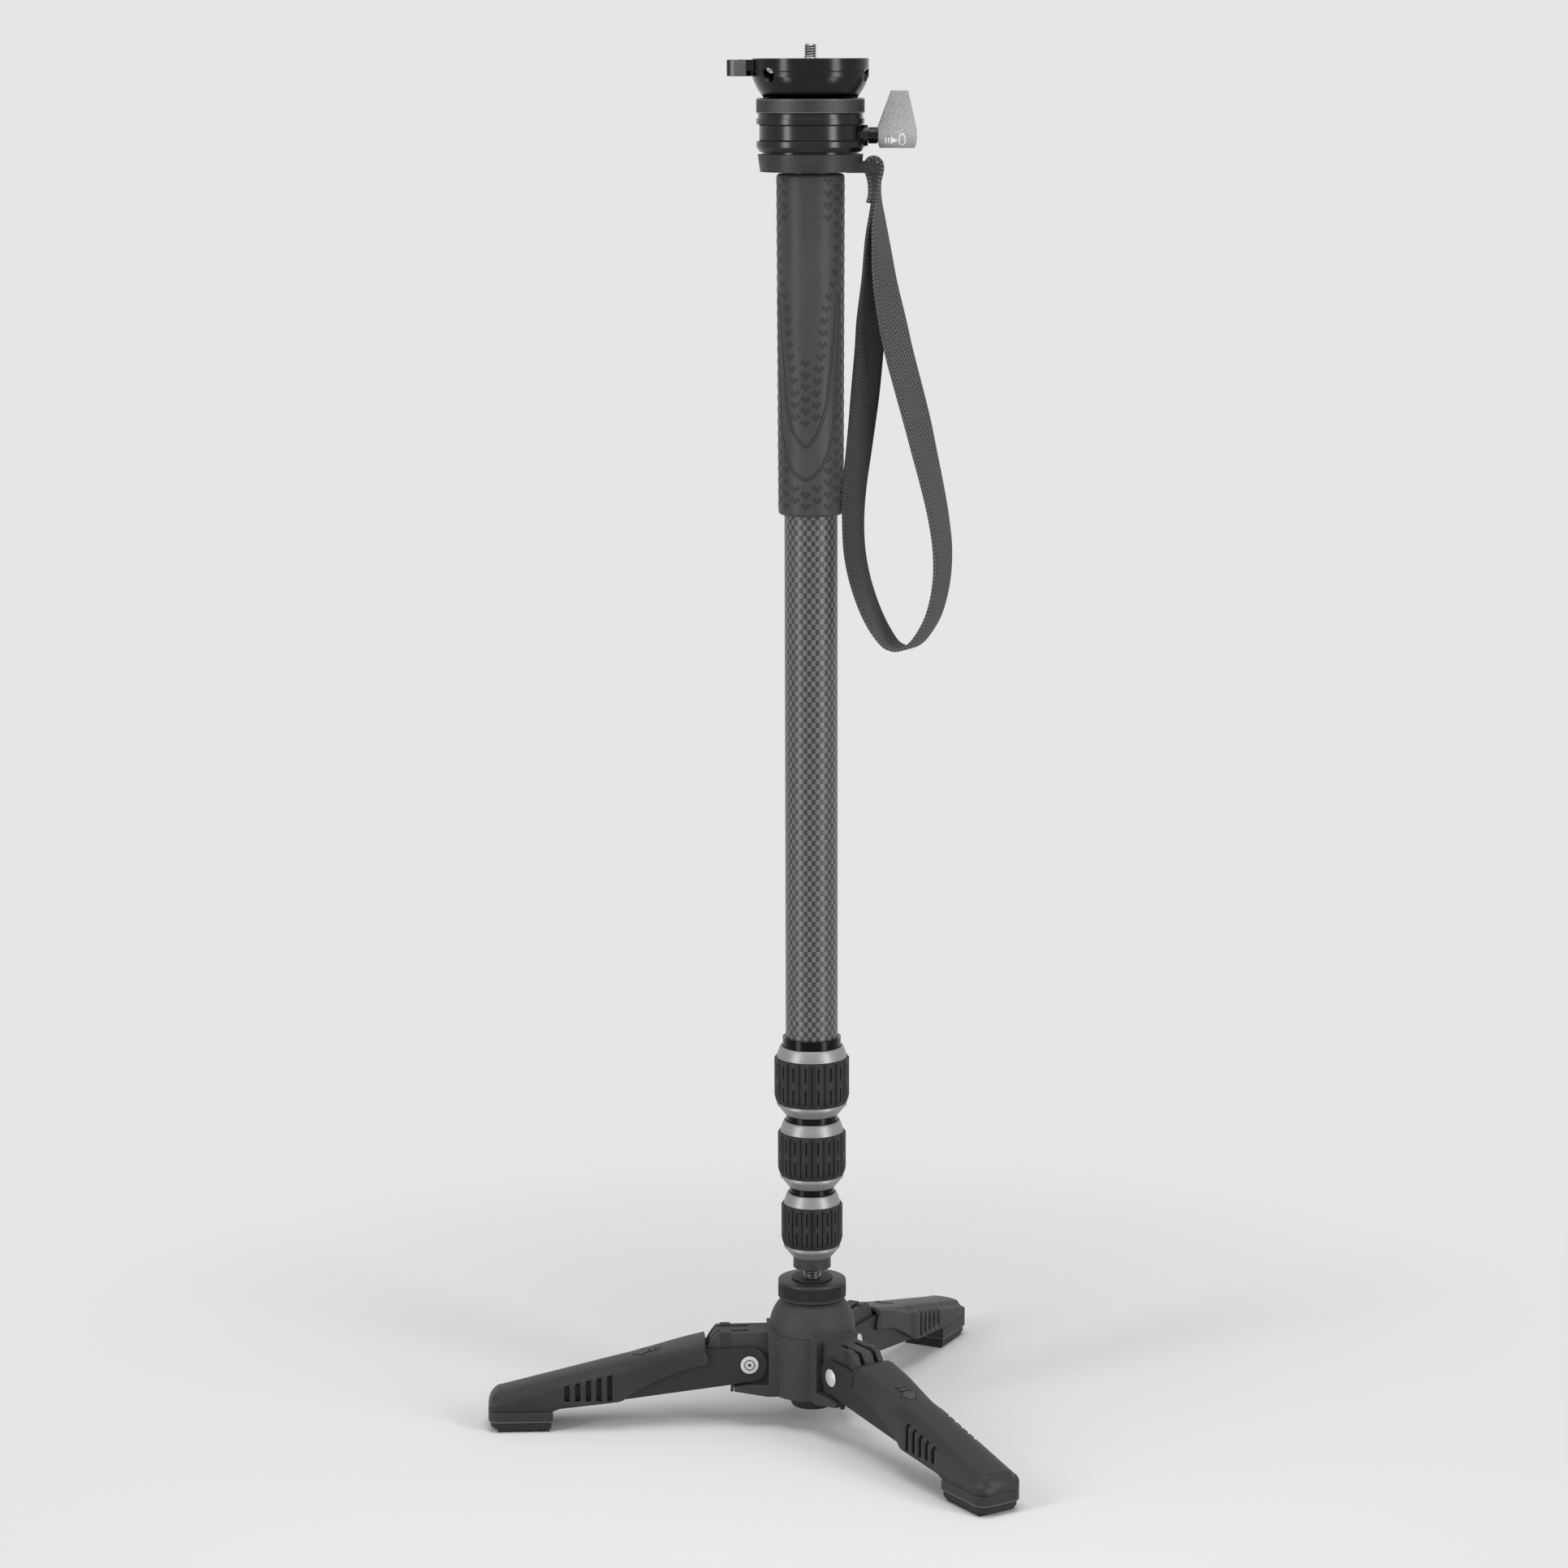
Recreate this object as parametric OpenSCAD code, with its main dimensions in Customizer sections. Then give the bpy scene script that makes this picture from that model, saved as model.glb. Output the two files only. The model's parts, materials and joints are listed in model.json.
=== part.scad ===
// Camera monopod: a four-section telescopic pole with a levelling head, a rubber grip with a
// wrist strap, three twist locks and a folding three-leg foot.
// The pole stands on the Z axis. The origin is the centre of the rubber foot's flat tip.

/* [Foot] */
// Diameter of the rubber foot's flat tip
foot_tip_d = 22; // [18:0.5:26]
// Diameter of the rubber foot where it meets the hub
foot_top_d = 30; // [27:0.5:34]
// Height of the rubber foot below the hub
foot_h = 8.5; // [6:0.5:12]
// Diameter of the hub and of its dome
hub_d = 47; // [44:0.5:52]
// Height from the hub's underside to the dome's centre
hub_h = 35; // [33:0.5:40]
// Diameter of the ball inside the hub
ball_d = 30; // [26:0.5:32]
// Lean of the pole that the dome's opening allows, in degrees
foot_lean = 15; // [8:1:18]
// Thickness of the seat ring under the ball
ball_seat_h = 7; // [5:0.5:9]
// Diameter of the three-eighths stud
stud_d = 9.525; // [8:0.025:11]
// Diameter of the clamping knob
knob_d = 36.9; // [33:0.1:40]
// Height of the clamping knob
knob_h = 11; // [8:0.5:14]
// Height of the knob's underside above the dome's centre
knob_lift = 16.7; // [16:0.1:19]
// Bevel at the knob's upper edge
knob_top_bevel = 0.8; // [0.3:0.1:1.5]
// Bevel at the knob's lower edge
knob_bevel = 1.6; // [0.5:0.1:2]
// Diameter of the washer on the knob
washer_d = 22; // [16:0.5:28]
// Thickness of the washer on the knob
washer_t = 0.8; // [0.5:0.1:1.5]
// Length of stud that shows between washer and end cap
stud_show = 5.7; // [3:0.1:10]

/* [Legs] */
// Turn of the left leg past the -X axis, in degrees
leg_turn = 3; // [-20:1:20]
// Distance from the pole's axis to a leg's pivot
pivot_r = 34.7; // [33:0.1:38]
// Height of the pivots above the foot's tip
pivot_z = 26; // [24:0.5:28]
// Diameter of a pivot pin
pin_d = 5; // [4:0.1:6]
// Diameter of a pivot pin's head
pin_head_d = 9.9; // [7:0.1:12]
// Thickness of a pivot pin's head
pin_head_t = 1.3; // [0.8:0.1:1.6]
// Width of the hub's lug between the arm's plates
lug_w = 17; // [13:0.5:19]
// Height of the lug above the pivot
lug_h = 17.5; // [15:0.5:18]
// Radius of the lug's outer end about the pivot
lug_r = 24.8; // [23:0.1:25]
// Width of each of the two slots in the lug
lug_slot_w = 2.8; // [1.5:0.1:3.5]
// Depth of the lug's slots
lug_slot_depth = 8.7; // [5:0.1:11]
// Spacing of the lug's slots
lug_slot_pitch = 8.5; // [7:0.1:9.5]
// Rise of the boss above the lug
boss_rise = 1; // [0.5:0.1:2]
// Reach of the hub's ledge under the arm, past the pivot
ledge_l = 8.5; // [6:0.1:9.5]
// Gap between the ledge and the arm
ledge_gap = 1.2; // [0.8:0.1:2]
// Width of the boss on the hub behind an arm
boss_w = 27; // [25:0.5:30]
// Thickness of the arm's plates and floor
plate_t = 2; // [1.5:0.1:2.5]
// Radius of the arm's round end
arm_end_r = 9.8; // [8.5:0.1:10.2]
// Length of the arm from the pivot to its outer end
arm_l = 103; // [95:1:104]
// Width of the stop tab under the arm
arm_tab_w = 1.5; // [1:0.1:3]
// Height of the stop tab under the arm
arm_tab_h = 4; // [2:0.1:5]
// Gap between the arm and the shell's roof
roof_gap = 2; // [1:0.1:3]
// Slope of the arm's lower edge, in degrees
arm_slope = 7; // [5:0.5:8]
// Lap of the shell's roof over the lug's end
roof_lap = 0.8; // [0.5:0.1:1.5]
// Wall of the leg's shell
shell_wall = 2.4; // [1.8:0.1:3]
// Length from the pivot to the shell's nose
leg_l = 142; // [138:1:150]
// Height of the shell's top above the pad, at the start of its nose
nose_h = 10.5; // [9:0.5:12]
// Height of the shell's top above the pivot at the shell's inner end
shell_top = 13.2; // [12.5:0.1:13.8]
// Height that is planed off the shell's round top
shell_flat = 0.3; // [0.1:0.1:1]
// Radius of the shell's nose, seen from the side
nose_r = 9; // [6:0.5:12]
// Length of the shell's nose, seen from above
nose_l = 6; // [4:0.5:18]
// Half width of the flat on the shell's nose
nose_flat = 7.5; // [2:0.5:10]
// How much wider the shell is at its slots
shell_bulge = 0.5; // [0:0.1:1]
// Reach of the shell's sides towards the hub past its roof
skirt_reach = 2.5; // [1:0.1:3]
// Height of the sides' inner lower corner above the pivot
skirt_z = 1; // [0:0.1:3]
// Place where the sides reach their full depth
skirt_deep_x = 70; // [60:1:74]
// Height of the sides' deep edge above the pad
skirt_deep_h = 5; // [3:0.1:7]
// Bend of the sides' lower edge
skirt_bend = 1.6; // [1.2:0.1:2]
// Radius along the shell's upper edges
shell_round = 5; // [2:0.5:7]
// Length of the foot pad
pad_l = 35; // [30:1:37]
// Thickness of the pad's plastic plate
pad_t = 6; // [4:0.5:8]
// Thickness of the rubber sole
sole_t = 6; // [4:0.5:8]
// How far the sole is set in from the pad's edge
sole_inset = 0.8; // [0.3:0.1:1.5]
// Number of grooves across the sole
tread_count = 4; // [2:1:6]
// Width of a groove across the sole
tread_w = 1.2; // [0.6:0.1:2]
// Depth of a groove across the sole
tread_depth = 1; // [0.5:0.1:2]
// Distance from the foot's tip down to the ground
ground_drop = 9.5; // [5:0.5:14]
// Number of grip slots on each side of a shell
slot_count = 5; // [3:1:6]
// Spacing of the grip slots
slot_pitch = 5.8; // [5:0.1:6.4]
// Width of a grip slot
slot_w = 2.8; // [1.5:0.1:3.2]
// Place of the first grip slot, from the pivot
slot_x = 74.6; // [72:0.1:78]
// Height of the first grip slot
slot_h = 12; // [8:0.5:13]
// How much shorter each grip slot is than the one before
slot_fall = 0.9; // [0.5:0.1:1.2]
// Height of the grip slots' lower ends above the pad
slot_low = 5.2; // [4:0.1:7]
// Depth of a grip slot
slot_depth = 1; // [0.5:0.1:1.4]
// Travel of a shell along its arm
shell_travel = 8; // [4:0.5:10]
// Place of the shell's rib that pushes the return spring
rib_x = 40; // [36:1:44]
// Width of the shell's rib
rib_w = 12; // [10:0.5:14]
// Place of the arm's wall that the return spring stands on
stop_x = 66; // [60:1:72]
// Mean diameter of the shell's return spring
leg_spring_d = 7; // [5:0.2:8]
// Wire of the return spring
leg_spring_wire = 1; // [0.6:0.1:1.2]
// Turns of the return spring
leg_spring_turns = 8; // [5:1:10]

/* [Pole] */
// Outer diameter of the top tube
tube_od = 28; // [26:0.1:30]
// Wall of each tube
tube_wall = 1.1; // [0.9:0.1:1.4]
// Radial gap between one tube and the next
tube_gap = 0.7; // [0.6:0.05:0.9]
// Thickness of the guide shims
shim_t = 0.35; // [0.2:0.05:0.45]
// Length of the guide shims
shim_l = 40; // [25:1:60]
// Travel of each section
section_travel = 370; // [250:5:400]
// Length of tube that stays inside at full travel
section_overlap = 70; // [60:5:90]
// Length of bare top tube between the lock and the grip
bare_tube_l = 282; // [240:1:330]
// Outer diameter of the end cap
end_cap_d = 20.4; // [19.8:0.1:24]
// Height of the end cap's skirt
end_cap_h = 6; // [4:0.5:9]
// Radial clearance between pieces that slide or turn
run_clear = 0.3; // [0.25:0.05:0.4]
// Radial clearance between pieces that are bonded or pressed
seat_clear = 0.05; // [0.02:0.01:0.1]

/* [Twist locks] */
// Height of the lower ring of a nut
nut_foot_h = 6.5; // [5.5:0.5:9]
// Height of the smallest rubber sleeve
sleeve_h = 22; // [18:0.5:28]
// Growth of the rubber sleeve from one lock to the next larger one
sleeve_growth = 1; // [0:0.25:2]
// Height of the upper ring of a nut
nut_head_h = 8.5; // [6:0.5:12]
// How far a nut's rings stand out from the tube
ring_stand = 4.85; // [4.2:0.05:6]
// How far a nut's lower end stands out from the tube
nut_end_stand = 0.6; // [0.3:0.1:2]
// Bevel on the shoulder of a nut's lower ring
nut_bevel = 0.3; // [0.2:0.1:0.6]
// Straight height of a nut's lower ring
nut_band = 1.2; // [0.8:0.1:2]
// How far a nut's rings draw in at their ends
ring_taper = 1.4; // [0.5:0.1:1.8]
// How far the rubber sleeve stands out from the tube
sleeve_stand = 6.15; // [5.5:0.05:8]
// Length over which the rubber sleeve draws in at its lower end
sleeve_taper = 4; // [2:0.5:6]
// Bevel at the rubber sleeve's upper edge
sleeve_bevel = 0.6; // [0.3:0.1:1]
// Depth of the nut's seat under the rubber sleeve
sleeve_seat = 1; // [0.6:0.1:1.2]
// Wall of a lock's base around the tube
base_wall = 1.7; // [1.4:0.1:2.2]
// Length of base that shows above the top nut
base_show_top = 3.6; // [2:0.1:6]
// Length of base that shows above each lower nut
base_show = 2; // [1:0.1:4]
// Ledge in a base that carries the tube's end
base_ledge = 2.5; // [1.5:0.1:4]
// Floor of a nut under the collet
nut_floor = 3; // [2:0.1:4]
// Height of a collet
collet_h = 8; // [6:0.5:10]
// Width of the slit in a collet
collet_slit = 2; // [1:0.5:4]

/* [Grip and strap] */
// Length of the rubber grip
grip_l = 177.3; // [150:0.5:200]
// Diameter of the grip at its top
grip_top_d = 35.4; // [34:0.1:38]
// Diameter of the grip at its bottom
grip_low_d = 34.2; // [33:0.1:35]
// Rounding of the grip's ends
grip_round = 2; // [1:0.5:2.5]
// Height of the collar above the grip
collar_h = 9; // [8:0.5:12]
// Diameter of the collar at its top
collar_top_d = 54.8; // [52:0.1:56]
// Diameter of the collar at its bottom
collar_low_d = 52.2; // [50:0.1:54]
// Gap between grip and collar
collar_gap = 0.8; // [0.4:0.1:1]
// Diameter of the bar that carries the strap
bar_d = 5.6; // [4:0.1:5.8]
// Distance from the pole's axis to the strap's bar
bar_x = 32.8; // [32.5:0.1:34]
// Width of the strap's webbing
strap_w = 16; // [12:0.5:17]
// Thickness of the strap's webbing
strap_t = 1.6; // [1:0.1:1.8]
// Space beside the strap in its lug
strap_side = 1.5; // [0.8:0.1:2]
// Drop of the lug below the collar
lug_drop = 0.4; // [0:0.1:0.8]
// Thickness of the lug's two prongs
prong_t = 3; // [2:0.1:4]

/* [Levelling head] */
// Diameter of the platform
platform_d = 60.4; // [58:0.1:63]
// Height of the platform disc
disc_h = 6.6; // [5:0.1:8]
// Height of the ball's rim under the disc
rim_h = 2.9; // [2:0.1:4]
// How far the ball's rim stands out past its bowl
rim_step = 0.25; // [0.1:0.05:0.5]
// Height between the knurled ring and the ball's rim
ball_show = 10.7; // [9.5:0.1:12]
// Wall of the ball's bowl
bowl_wall = 4; // [3:0.5:6]
// Lean of the platform, in degrees
level_lean = 12; // [6:1:13]
// Diameter of the quarter-inch camera screw
screw_d = 6.35; // [6:0.05:9.55]
// Length of the camera screw above the platform
screw_l = 7.4; // [4:0.1:12]
// Diameter of the camera screw's shoulder inside the platform
screw_root_d = 9; // [8:0.1:12]
// Diameter of the flange under the camera screw
screw_flange_d = 16; // [12:0.5:20]
// Thickness of the flange under the camera screw
screw_flange_t = 2; // [1:0.1:3]
// Distance from the axis to the bubble level's centre
bubble_x = 36.5; // [36:0.1:38]
// Diameter of the bubble level's tab
bubble_tab_d = 13; // [12:0.1:15]
// Height of the bubble level's tab
bubble_tab_h = 8.4; // [7:0.1:9]
// Drop of the bubble level's tab below the platform's top
bubble_drop = 0.6; // [0.3:0.1:1.5]
// Diameter of the bubble level's glass
bubble_d = 9; // [6:0.1:10]
// Depth of the bubble level's glass
bubble_h = 5; // [3:0.1:6]
// Depth of the glass below the top of its tab
bubble_sink = 0.7; // [0.6:0.1:1.2]
// Direction of the first set screw, in degrees
grub_turn = -136; // [-180:1:180]
// Diameter of a set screw
grub_d = 3.8; // [3:0.1:4.4]
// Length of a set screw
grub_l = 6; // [4:0.1:7]
// Lean of a set screw from the vertical, in degrees
grub_lean = 45; // [30:1:50]
// Depth of a set screw's outer end inside the platform's edge
grub_in = 1.2; // [0.5:0.1:2]
// Depth of a set screw's hexagon socket
grub_socket = 2; // [1:0.1:3]
// Diameter of the notch around a set screw
grub_notch_d = 8; // [6:0.1:9]
// Diameter of the knurled ring
ring_d = 56.2; // [55.4:0.1:58]
// Height of the knurled ring
ring_h = 7.8; // [6:0.1:10]
// Bevel on the knurled ring's edges
ring_bevel = 0.5; // [0.2:0.1:1]
// Diameter of the thread under the knurled ring
thread_d = 52; // [51.4:0.1:53]
// Depth of the thread's top below the knurled ring's top
thread_drop = 1; // [0.5:0.1:2]
// Diameter of the body's flanges
body_d = 56; // [54.6:0.1:58]
// Diameter of the body's recessed band
band_d = 53; // [52:0.1:54]
// Height of the body's recessed band
band_h = 8.7; // [6:0.1:10]
// Height of each body flange
flange_h = 2.9; // [2:0.1:4]
// Height of the taper under the lower flange
body_taper_h = 2.5; // [1.5:0.1:4]
// How far the taper draws in
body_taper_in = 1.5; // [0.5:0.1:3]
// Height of the groove under the knurled ring
groove_h = 2.5; // [1.5:0.1:4]
// Diameter of the groove under the knurled ring
groove_d = 54.4; // [53:0.1:55]
// Thickness of the plug's flange under the body
plug_flange_t = 1.3; // [0.8:0.1:2]
// Diameter of the plug's flange under the body
plug_flange_d = 50; // [34:0.5:51]
// Length of the plug inside the top tube
plug_l = 30; // [20:1:40]
// Thickness of the seat ring under the bowl
level_seat_t = 1.6; // [1:0.1:1.8]
// Inner diameter of the seat ring under the bowl
level_seat_in_d = 25; // [23:0.1:28]
// Outer diameter of the seat ring under the bowl
level_seat_out_d = 37.6; // [33:0.1:38]
// Thickness of the cup's lip between seat and retainer
lip_t = 3.3; // [2.5:0.1:3.5]
// Diameter of the retainer under the lip
retainer_d = 23; // [22.4:0.1:23.2]
// Thickness of the retainer
retainer_t = 3; // [2:0.1:3.2]
// Diameter of the retainer's bolt
retainer_bolt_d = 5; // [4:0.1:5.2]
// Height of the retainer's bolt head
retainer_head_h = 2.8; // [2:0.1:3]
// Diameter of the retainer's bolt head
retainer_head_d = 8; // [6:0.1:10]
// Diameter of the hollow under the lip
hollow_d = 40.2; // [40:0.1:40.4]

/* [Head lever] */
// Height of the lever's axis above the body's underside
lever_lift = 8.2; // [7.8:0.1:9]
// Diameter of the clamp shoe
shoe_d = 4; // [3:0.1:4.2]
// Distance from the axis to the clamp shoe
shoe_x = 22.5; // [22.3:0.1:22.7]
// Diameter of the lever's screw
lever_screw_d = 6; // [5:0.1:6.4]
// Distance from the axis to the boss's outer face
lever_boss_x = 29.6; // [29:0.1:31]
// Diameter of the boss
lever_boss_d = 11; // [9:0.1:12]
// Diameter of the collar on the lever's screw
lever_collar_d = 8.5; // [7.4:0.1:10]
// Length of the collar on the lever's screw
lever_collar_l = 4.6; // [3:0.1:6]
// Diameter of the lever's splined shank
shank_d = 7.2; // [6:0.1:7.4]
// Length of the lever's splined shank
shank_l = 3.6; // [2:0.1:4]
// Width of the handle along its axis at the bottom
handle_l = 20; // [18:0.1:24]
// Width of the handle along its axis at the tip
handle_tip_l = 8.8; // [7:0.1:11]
// How far the handle's tip is set in from its inner end
handle_set = 6.8; // [4:0.1:8]
// Height of the handle's tip above its axis
handle_h = 22.8; // [18:0.1:28]
// Diameter of the handle's hub
handle_hub_d = 13; // [12:0.1:14]
// Thickness of the handle at its tip
handle_tip_t = 5; // [3:0.1:7]
// Wall inside the handle that the spring pushes on
handle_step = 2; // [1.5:0.1:3]
// Travel of the handle when it is pulled
pull_travel = 4; // [2:0.1:4.2]
// Diameter of the cap screw in the handle
cap_screw_d = 3.2; // [2.5:0.1:3.4]
// Diameter of the cap screw's head
cap_head_d = 7.6; // [6.8:0.1:8]
// Height of the cap screw's head
cap_head_h = 3; // [2:0.1:3.5]
// Mean diameter of the lever's spring
lever_spring_d = 5.4; // [4.8:0.1:5.8]
// Wire of the lever's spring
lever_spring_wire = 0.8; // [0.5:0.1:0.9]
// Turns of the lever's spring
lever_spring_turns = 4; // [3:1:4]
// Length of the lever's spring
lever_spring_l = 6.2; // [5.5:0.1:7]

/* [Hidden] */
$fn = 96;
LEGS = [180, 300, 60];
// How far a cut or a joined shape runs past a face
past = 1;
LOCK_COUNT = 3;

// Heights of the foot, from the rubber tip up
hub_z = foot_h;
dome_z = hub_z + hub_h;
dome_r = hub_d / 2;
ball_r = ball_d / 2;
socket_r = ball_r + run_clear;
seat_z = dome_z - ball_r - run_clear;
knob_z = dome_z + knob_lift;
washer_z = knob_z + knob_h + run_clear;
cap_z = washer_z + washer_t + stud_show;

// Sizes of the tubes and locks, counted from the top tube down
function tube_r(i) = tube_od / 2 - (i - 1) * (tube_wall + tube_gap);
function bore_r(i) = tube_r(i) - tube_wall;
function sleeve_height(i) = sleeve_h + (LOCK_COUNT - i) * sleeve_growth;
function nut_height(i) = nut_foot_h + sleeve_height(i) + nut_head_h;
function base_show_of(i) = i == 1 ? base_show_top : base_show;
function lock_z(i) = i == LOCK_COUNT
    ? cap_z + end_cap_h + run_clear
    : lock_z(i + 1) + nut_height(i + 1) + base_show_of(i + 1) + run_clear;
function base_z(i) = lock_z(i) + nut_floor + collet_h + 2 * run_clear;
function base_top(i) = lock_z(i) + nut_height(i) + base_show_of(i);
function base_r(i) = tube_r(i) + base_wall;
function ring_r(i) = tube_r(i) + ring_stand;
function tube_z(i) = i == LOCK_COUNT + 1 ? cap_z + seat_clear + plate_t : base_z(i) + base_ledge;
function tube_top(i) = i == 1
    ? collar_z + collar_h
    : base_z(i - 1) + section_travel + section_overlap;

// Heights of the grip, collar and head
grip_z = base_top(1) + bare_tube_l;
collar_z = grip_z + grip_l + collar_gap;
bar_z = collar_z + bar_d / 2 - lug_drop;
lug_in = grip_top_d / 2 + collar_gap;
body_z = collar_z + collar_h + plug_flange_t;
flange_z = body_z + body_taper_h;
band_z = flange_z + flange_h;
groove_z = band_z + band_h + flange_h;
ring_z = groove_z + groove_h;
top_z = ring_z + ring_h + ball_show + rim_h + disc_h;
disc_z = top_z - disc_h;
platform_r = platform_d / 2;

// Radii of the levelling bowl, all about the middle of the platform's top
bowl_r = norm([platform_r - rim_step, disc_h + rim_h]);
level_seat_r = bowl_r + run_clear;
cup_r = level_seat_r + level_seat_t + run_clear;
lip_r = cup_r + lip_t;
retainer_r = lip_r + run_clear;
retainer_low_r = retainer_r + retainer_t;
lip_hole_r = lip_r * sin(level_lean + asin(retainer_bolt_d / 2 / lip_r)) + run_clear;

// Places along the head lever's axis
lever_z = body_z + lever_lift;
lever_collar_x = lever_boss_x + run_clear;
handle_x = lever_collar_x + lever_collar_l + run_clear;
shank_x = lever_collar_x + lever_collar_l;
handle_step_x = shank_x + shank_l + pull_travel;
cap_head_x = handle_step_x + handle_step + lever_spring_l + 2 * run_clear;
handle_out_x = handle_x + handle_l;

// Places of the leg's pieces in the leg's own frame: X outward, Z up, pivot at the origin
sole_z = -pivot_z - ground_drop;
pad_z = sole_z + sole_t;
pad_top = pad_z + pad_t;
arm_half = lug_w / 2 + run_clear + plate_t;
shell_half = arm_half + run_clear + shell_wall;
shell_in = lug_r - roof_lap;
pad_in = leg_l - pad_l;
arm_bore = lug_w + 2 * run_clear;
boss_in = socket_r + plate_t - pivot_r;
boss_out = -arm_end_r - 2 * run_clear;
skirt_x = shell_in - skirt_reach;
shell_slope = atan((shell_top - pad_top - nose_h) / (leg_l - nose_r - shell_in));
function crown(x) = shell_top - (x - shell_in) * tan(shell_slope);
function arm_low(x) = -arm_end_r / cos(arm_slope) - x * tan(arm_slope);
function skirt_low(x) = skirt_z - (skirt_z - pad_top - skirt_deep_h)
    * pow((x - skirt_x) / (skirt_deep_x - skirt_x), skirt_bend);

// Places of the strap's centreline and the turn of its face about the vertical
STRAP = [
    [30, 0, 650.6, 6], [31, 0, 653.6, 5], [31.3, 0, 657, 4], [30.8, 0, 661.5, 2], [29.4, 0, 666, 0],
    [28.9, 0, 669.5, 0], [30, 0, 672.3, 0], [32.8, 0, 673.4, 0], [35.6, 0, 672.3, 0],
    [36.7, 0, 669.5, 0], [36.4, 0, 666, 0], [35.5, 0, 661.5, 2], [35.1, 0, 657, 4], [35.1, 0, 652, 9],
    [35.3, -0.4, 646, 17], [35.5, -0.8, 640, 25], [36.4, -2, 630, 34], [38.5, -4, 610, 52], [42.5, -7, 589, 67],
    [45.5, -9, 575, 70], [50.5, -12, 556, 68], [55, -15, 539, 64], [59, -18, 522, 56],
    [63, -20, 505, 48], [66.4, -21, 488, 42], [68.4, -21, 471, 38], [67.8, -20, 454, 34],
    [64, -17, 437, 32], [57, -13, 424, 30], [51, -10, 419, 30], [45.5, -7.5, 418.5, 32],
    [40, -5.5, 422.5, 36], [32.5, -4.5, 435, 41], [26.3, -4, 452, 43], [22.9, -4, 469, 44],
    [22.1, -4, 486, 45], [22.7, -4, 503, 52], [24.8, -3, 520, 56], [26.8, -2, 537, 62],
    [28.6, -1, 554, 70], [30.5, 0, 575, 71], [31.3, 0, 589, 70], [33, 0, 610, 56],
    [33.4, 0, 630, 40], [33.3, 0.2, 641, 24], [33.2, 0, 650, 11], [33.2, 0, 656.5, 4]];

// Shapes that repeat

module at(z) { translate([0, 0, z]) children(); }

module ring(r_out, r_in, z_low, z_high) {
    at(z_low) difference() {
        cylinder(r = r_out, h = z_high - z_low);
        at(-past) cylinder(r = r_in, h = z_high - z_low + 2 * past);
    }
}

module along_x(r, x_low, x_high, z) {
    translate([x_low, 0, z]) rotate([0, 90, 0]) cylinder(r = r, h = x_high - x_low);
}

module across(w) {
    rotate([90, 0, 0]) linear_extrude(w, center = true) children();
}

module leg_frame(k) {
    rotate([0, 0, LEGS[k] + leg_turn]) translate([pivot_r, 0, pivot_z]) children();
}

// One closed skin over rings of points, each ring with the same number of points
module skin(rings) {
    n = len(rings[0]);
    last = len(rings) - 1;
    sides = [for (i = [0:last - 1], j = [0:n - 1]) let (a = i * n, b = a + n, k = (j + 1) % n)
        each [[a + j, b + j, a + k], [a + k, b + j, b + k]]];
    ends = [for (j = [1:n - 2]) each [[0, j, j + 1], [last * n, last * n + j + 1, last * n + j]]];
    polyhedron([for (r = rings) each r], concat(sides, ends));
}

// A coil spring along +X from the origin
SPRING_RINGS = 8;
SPRING_SIDES = 6;
function spring_point(t, turns, l, d) = let (a = 360 * turns * t) [t * l, d / 2 * cos(a), d / 2 * sin(a)];
function spring_ring(t, turns, l, d, wire) = let (
    p = spring_point(t, turns, l - wire, d) + [wire / 2, 0, 0],
    out = [0, cos(360 * turns * t), sin(360 * turns * t)],
    rise = l / (PI * d * turns),
    side = [1, 0, 0] - rise * [0, -sin(360 * turns * t), cos(360 * turns * t)])
    [for (s = [0:SPRING_SIDES - 1]) p + wire / 2 * (cos(360 * s / SPRING_SIDES) * out
        + sin(360 * s / SPRING_SIDES) * side / norm(side))];

module coil_spring(l, d, wire, turns) {
    steps = SPRING_RINGS * turns;
    run = l - wire;
    gap = norm(spring_point(1 / turns, turns, run, d) - spring_point(0, turns, run, d)) - wire;
    echo(least_gap_between_turns = gap);
    skin([for (i = [0:steps]) spring_ring(i / steps, turns, l, d, wire)]);
}

// Levelling head

module on_grubs() {
    for (k = [0:2]) rotate([0, 0, grub_turn + 120 * k])
        translate([platform_r - grub_in, 0, disc_z + run_clear]) rotate([0, -grub_lean, 0]) children();
}

module grub_notches(deeper = 0) {
    on_grubs() at(-grub_notch_d) cylinder(d = grub_notch_d, h = grub_notch_d + deeper);
}

module camera_screw() color("silver") {
    at(disc_z - screw_flange_t) cylinder(d = screw_flange_d, h = screw_flange_t);
    at(disc_z - screw_flange_t) cylinder(d = screw_root_d, h = disc_h + screw_flange_t);
    at(top_z) cylinder(d = screw_d, h = screw_l);
}

module platform_disc() color("#1c1c1c") difference() {
    union() {
        at(disc_z) cylinder(r = platform_r, h = disc_h);
        translate([-bubble_x, 0, top_z - bubble_tab_h - bubble_drop])
            cylinder(d = bubble_tab_d, h = bubble_tab_h);
        translate([-bubble_x, -bubble_tab_d / 2, disc_z + run_clear])
            cube([bubble_x, bubble_tab_d, disc_h - run_clear - bubble_drop]);
    }
    at(disc_z - disc_h) cylinder(d = screw_root_d + 2 * seat_clear, h = 3 * disc_h);
    translate([-bubble_x, 0, top_z - bubble_h]) cylinder(d = bubble_d + 2 * seat_clear, h = bubble_h + past);
    on_grubs() at(-grub_in) cylinder(d = grub_d + 2 * seat_clear, h = 2 * platform_r);
    grub_notches();
    ring(platform_r, platform_r - bubble_tab_d, disc_z - bubble_tab_h, disc_z);
}

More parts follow.
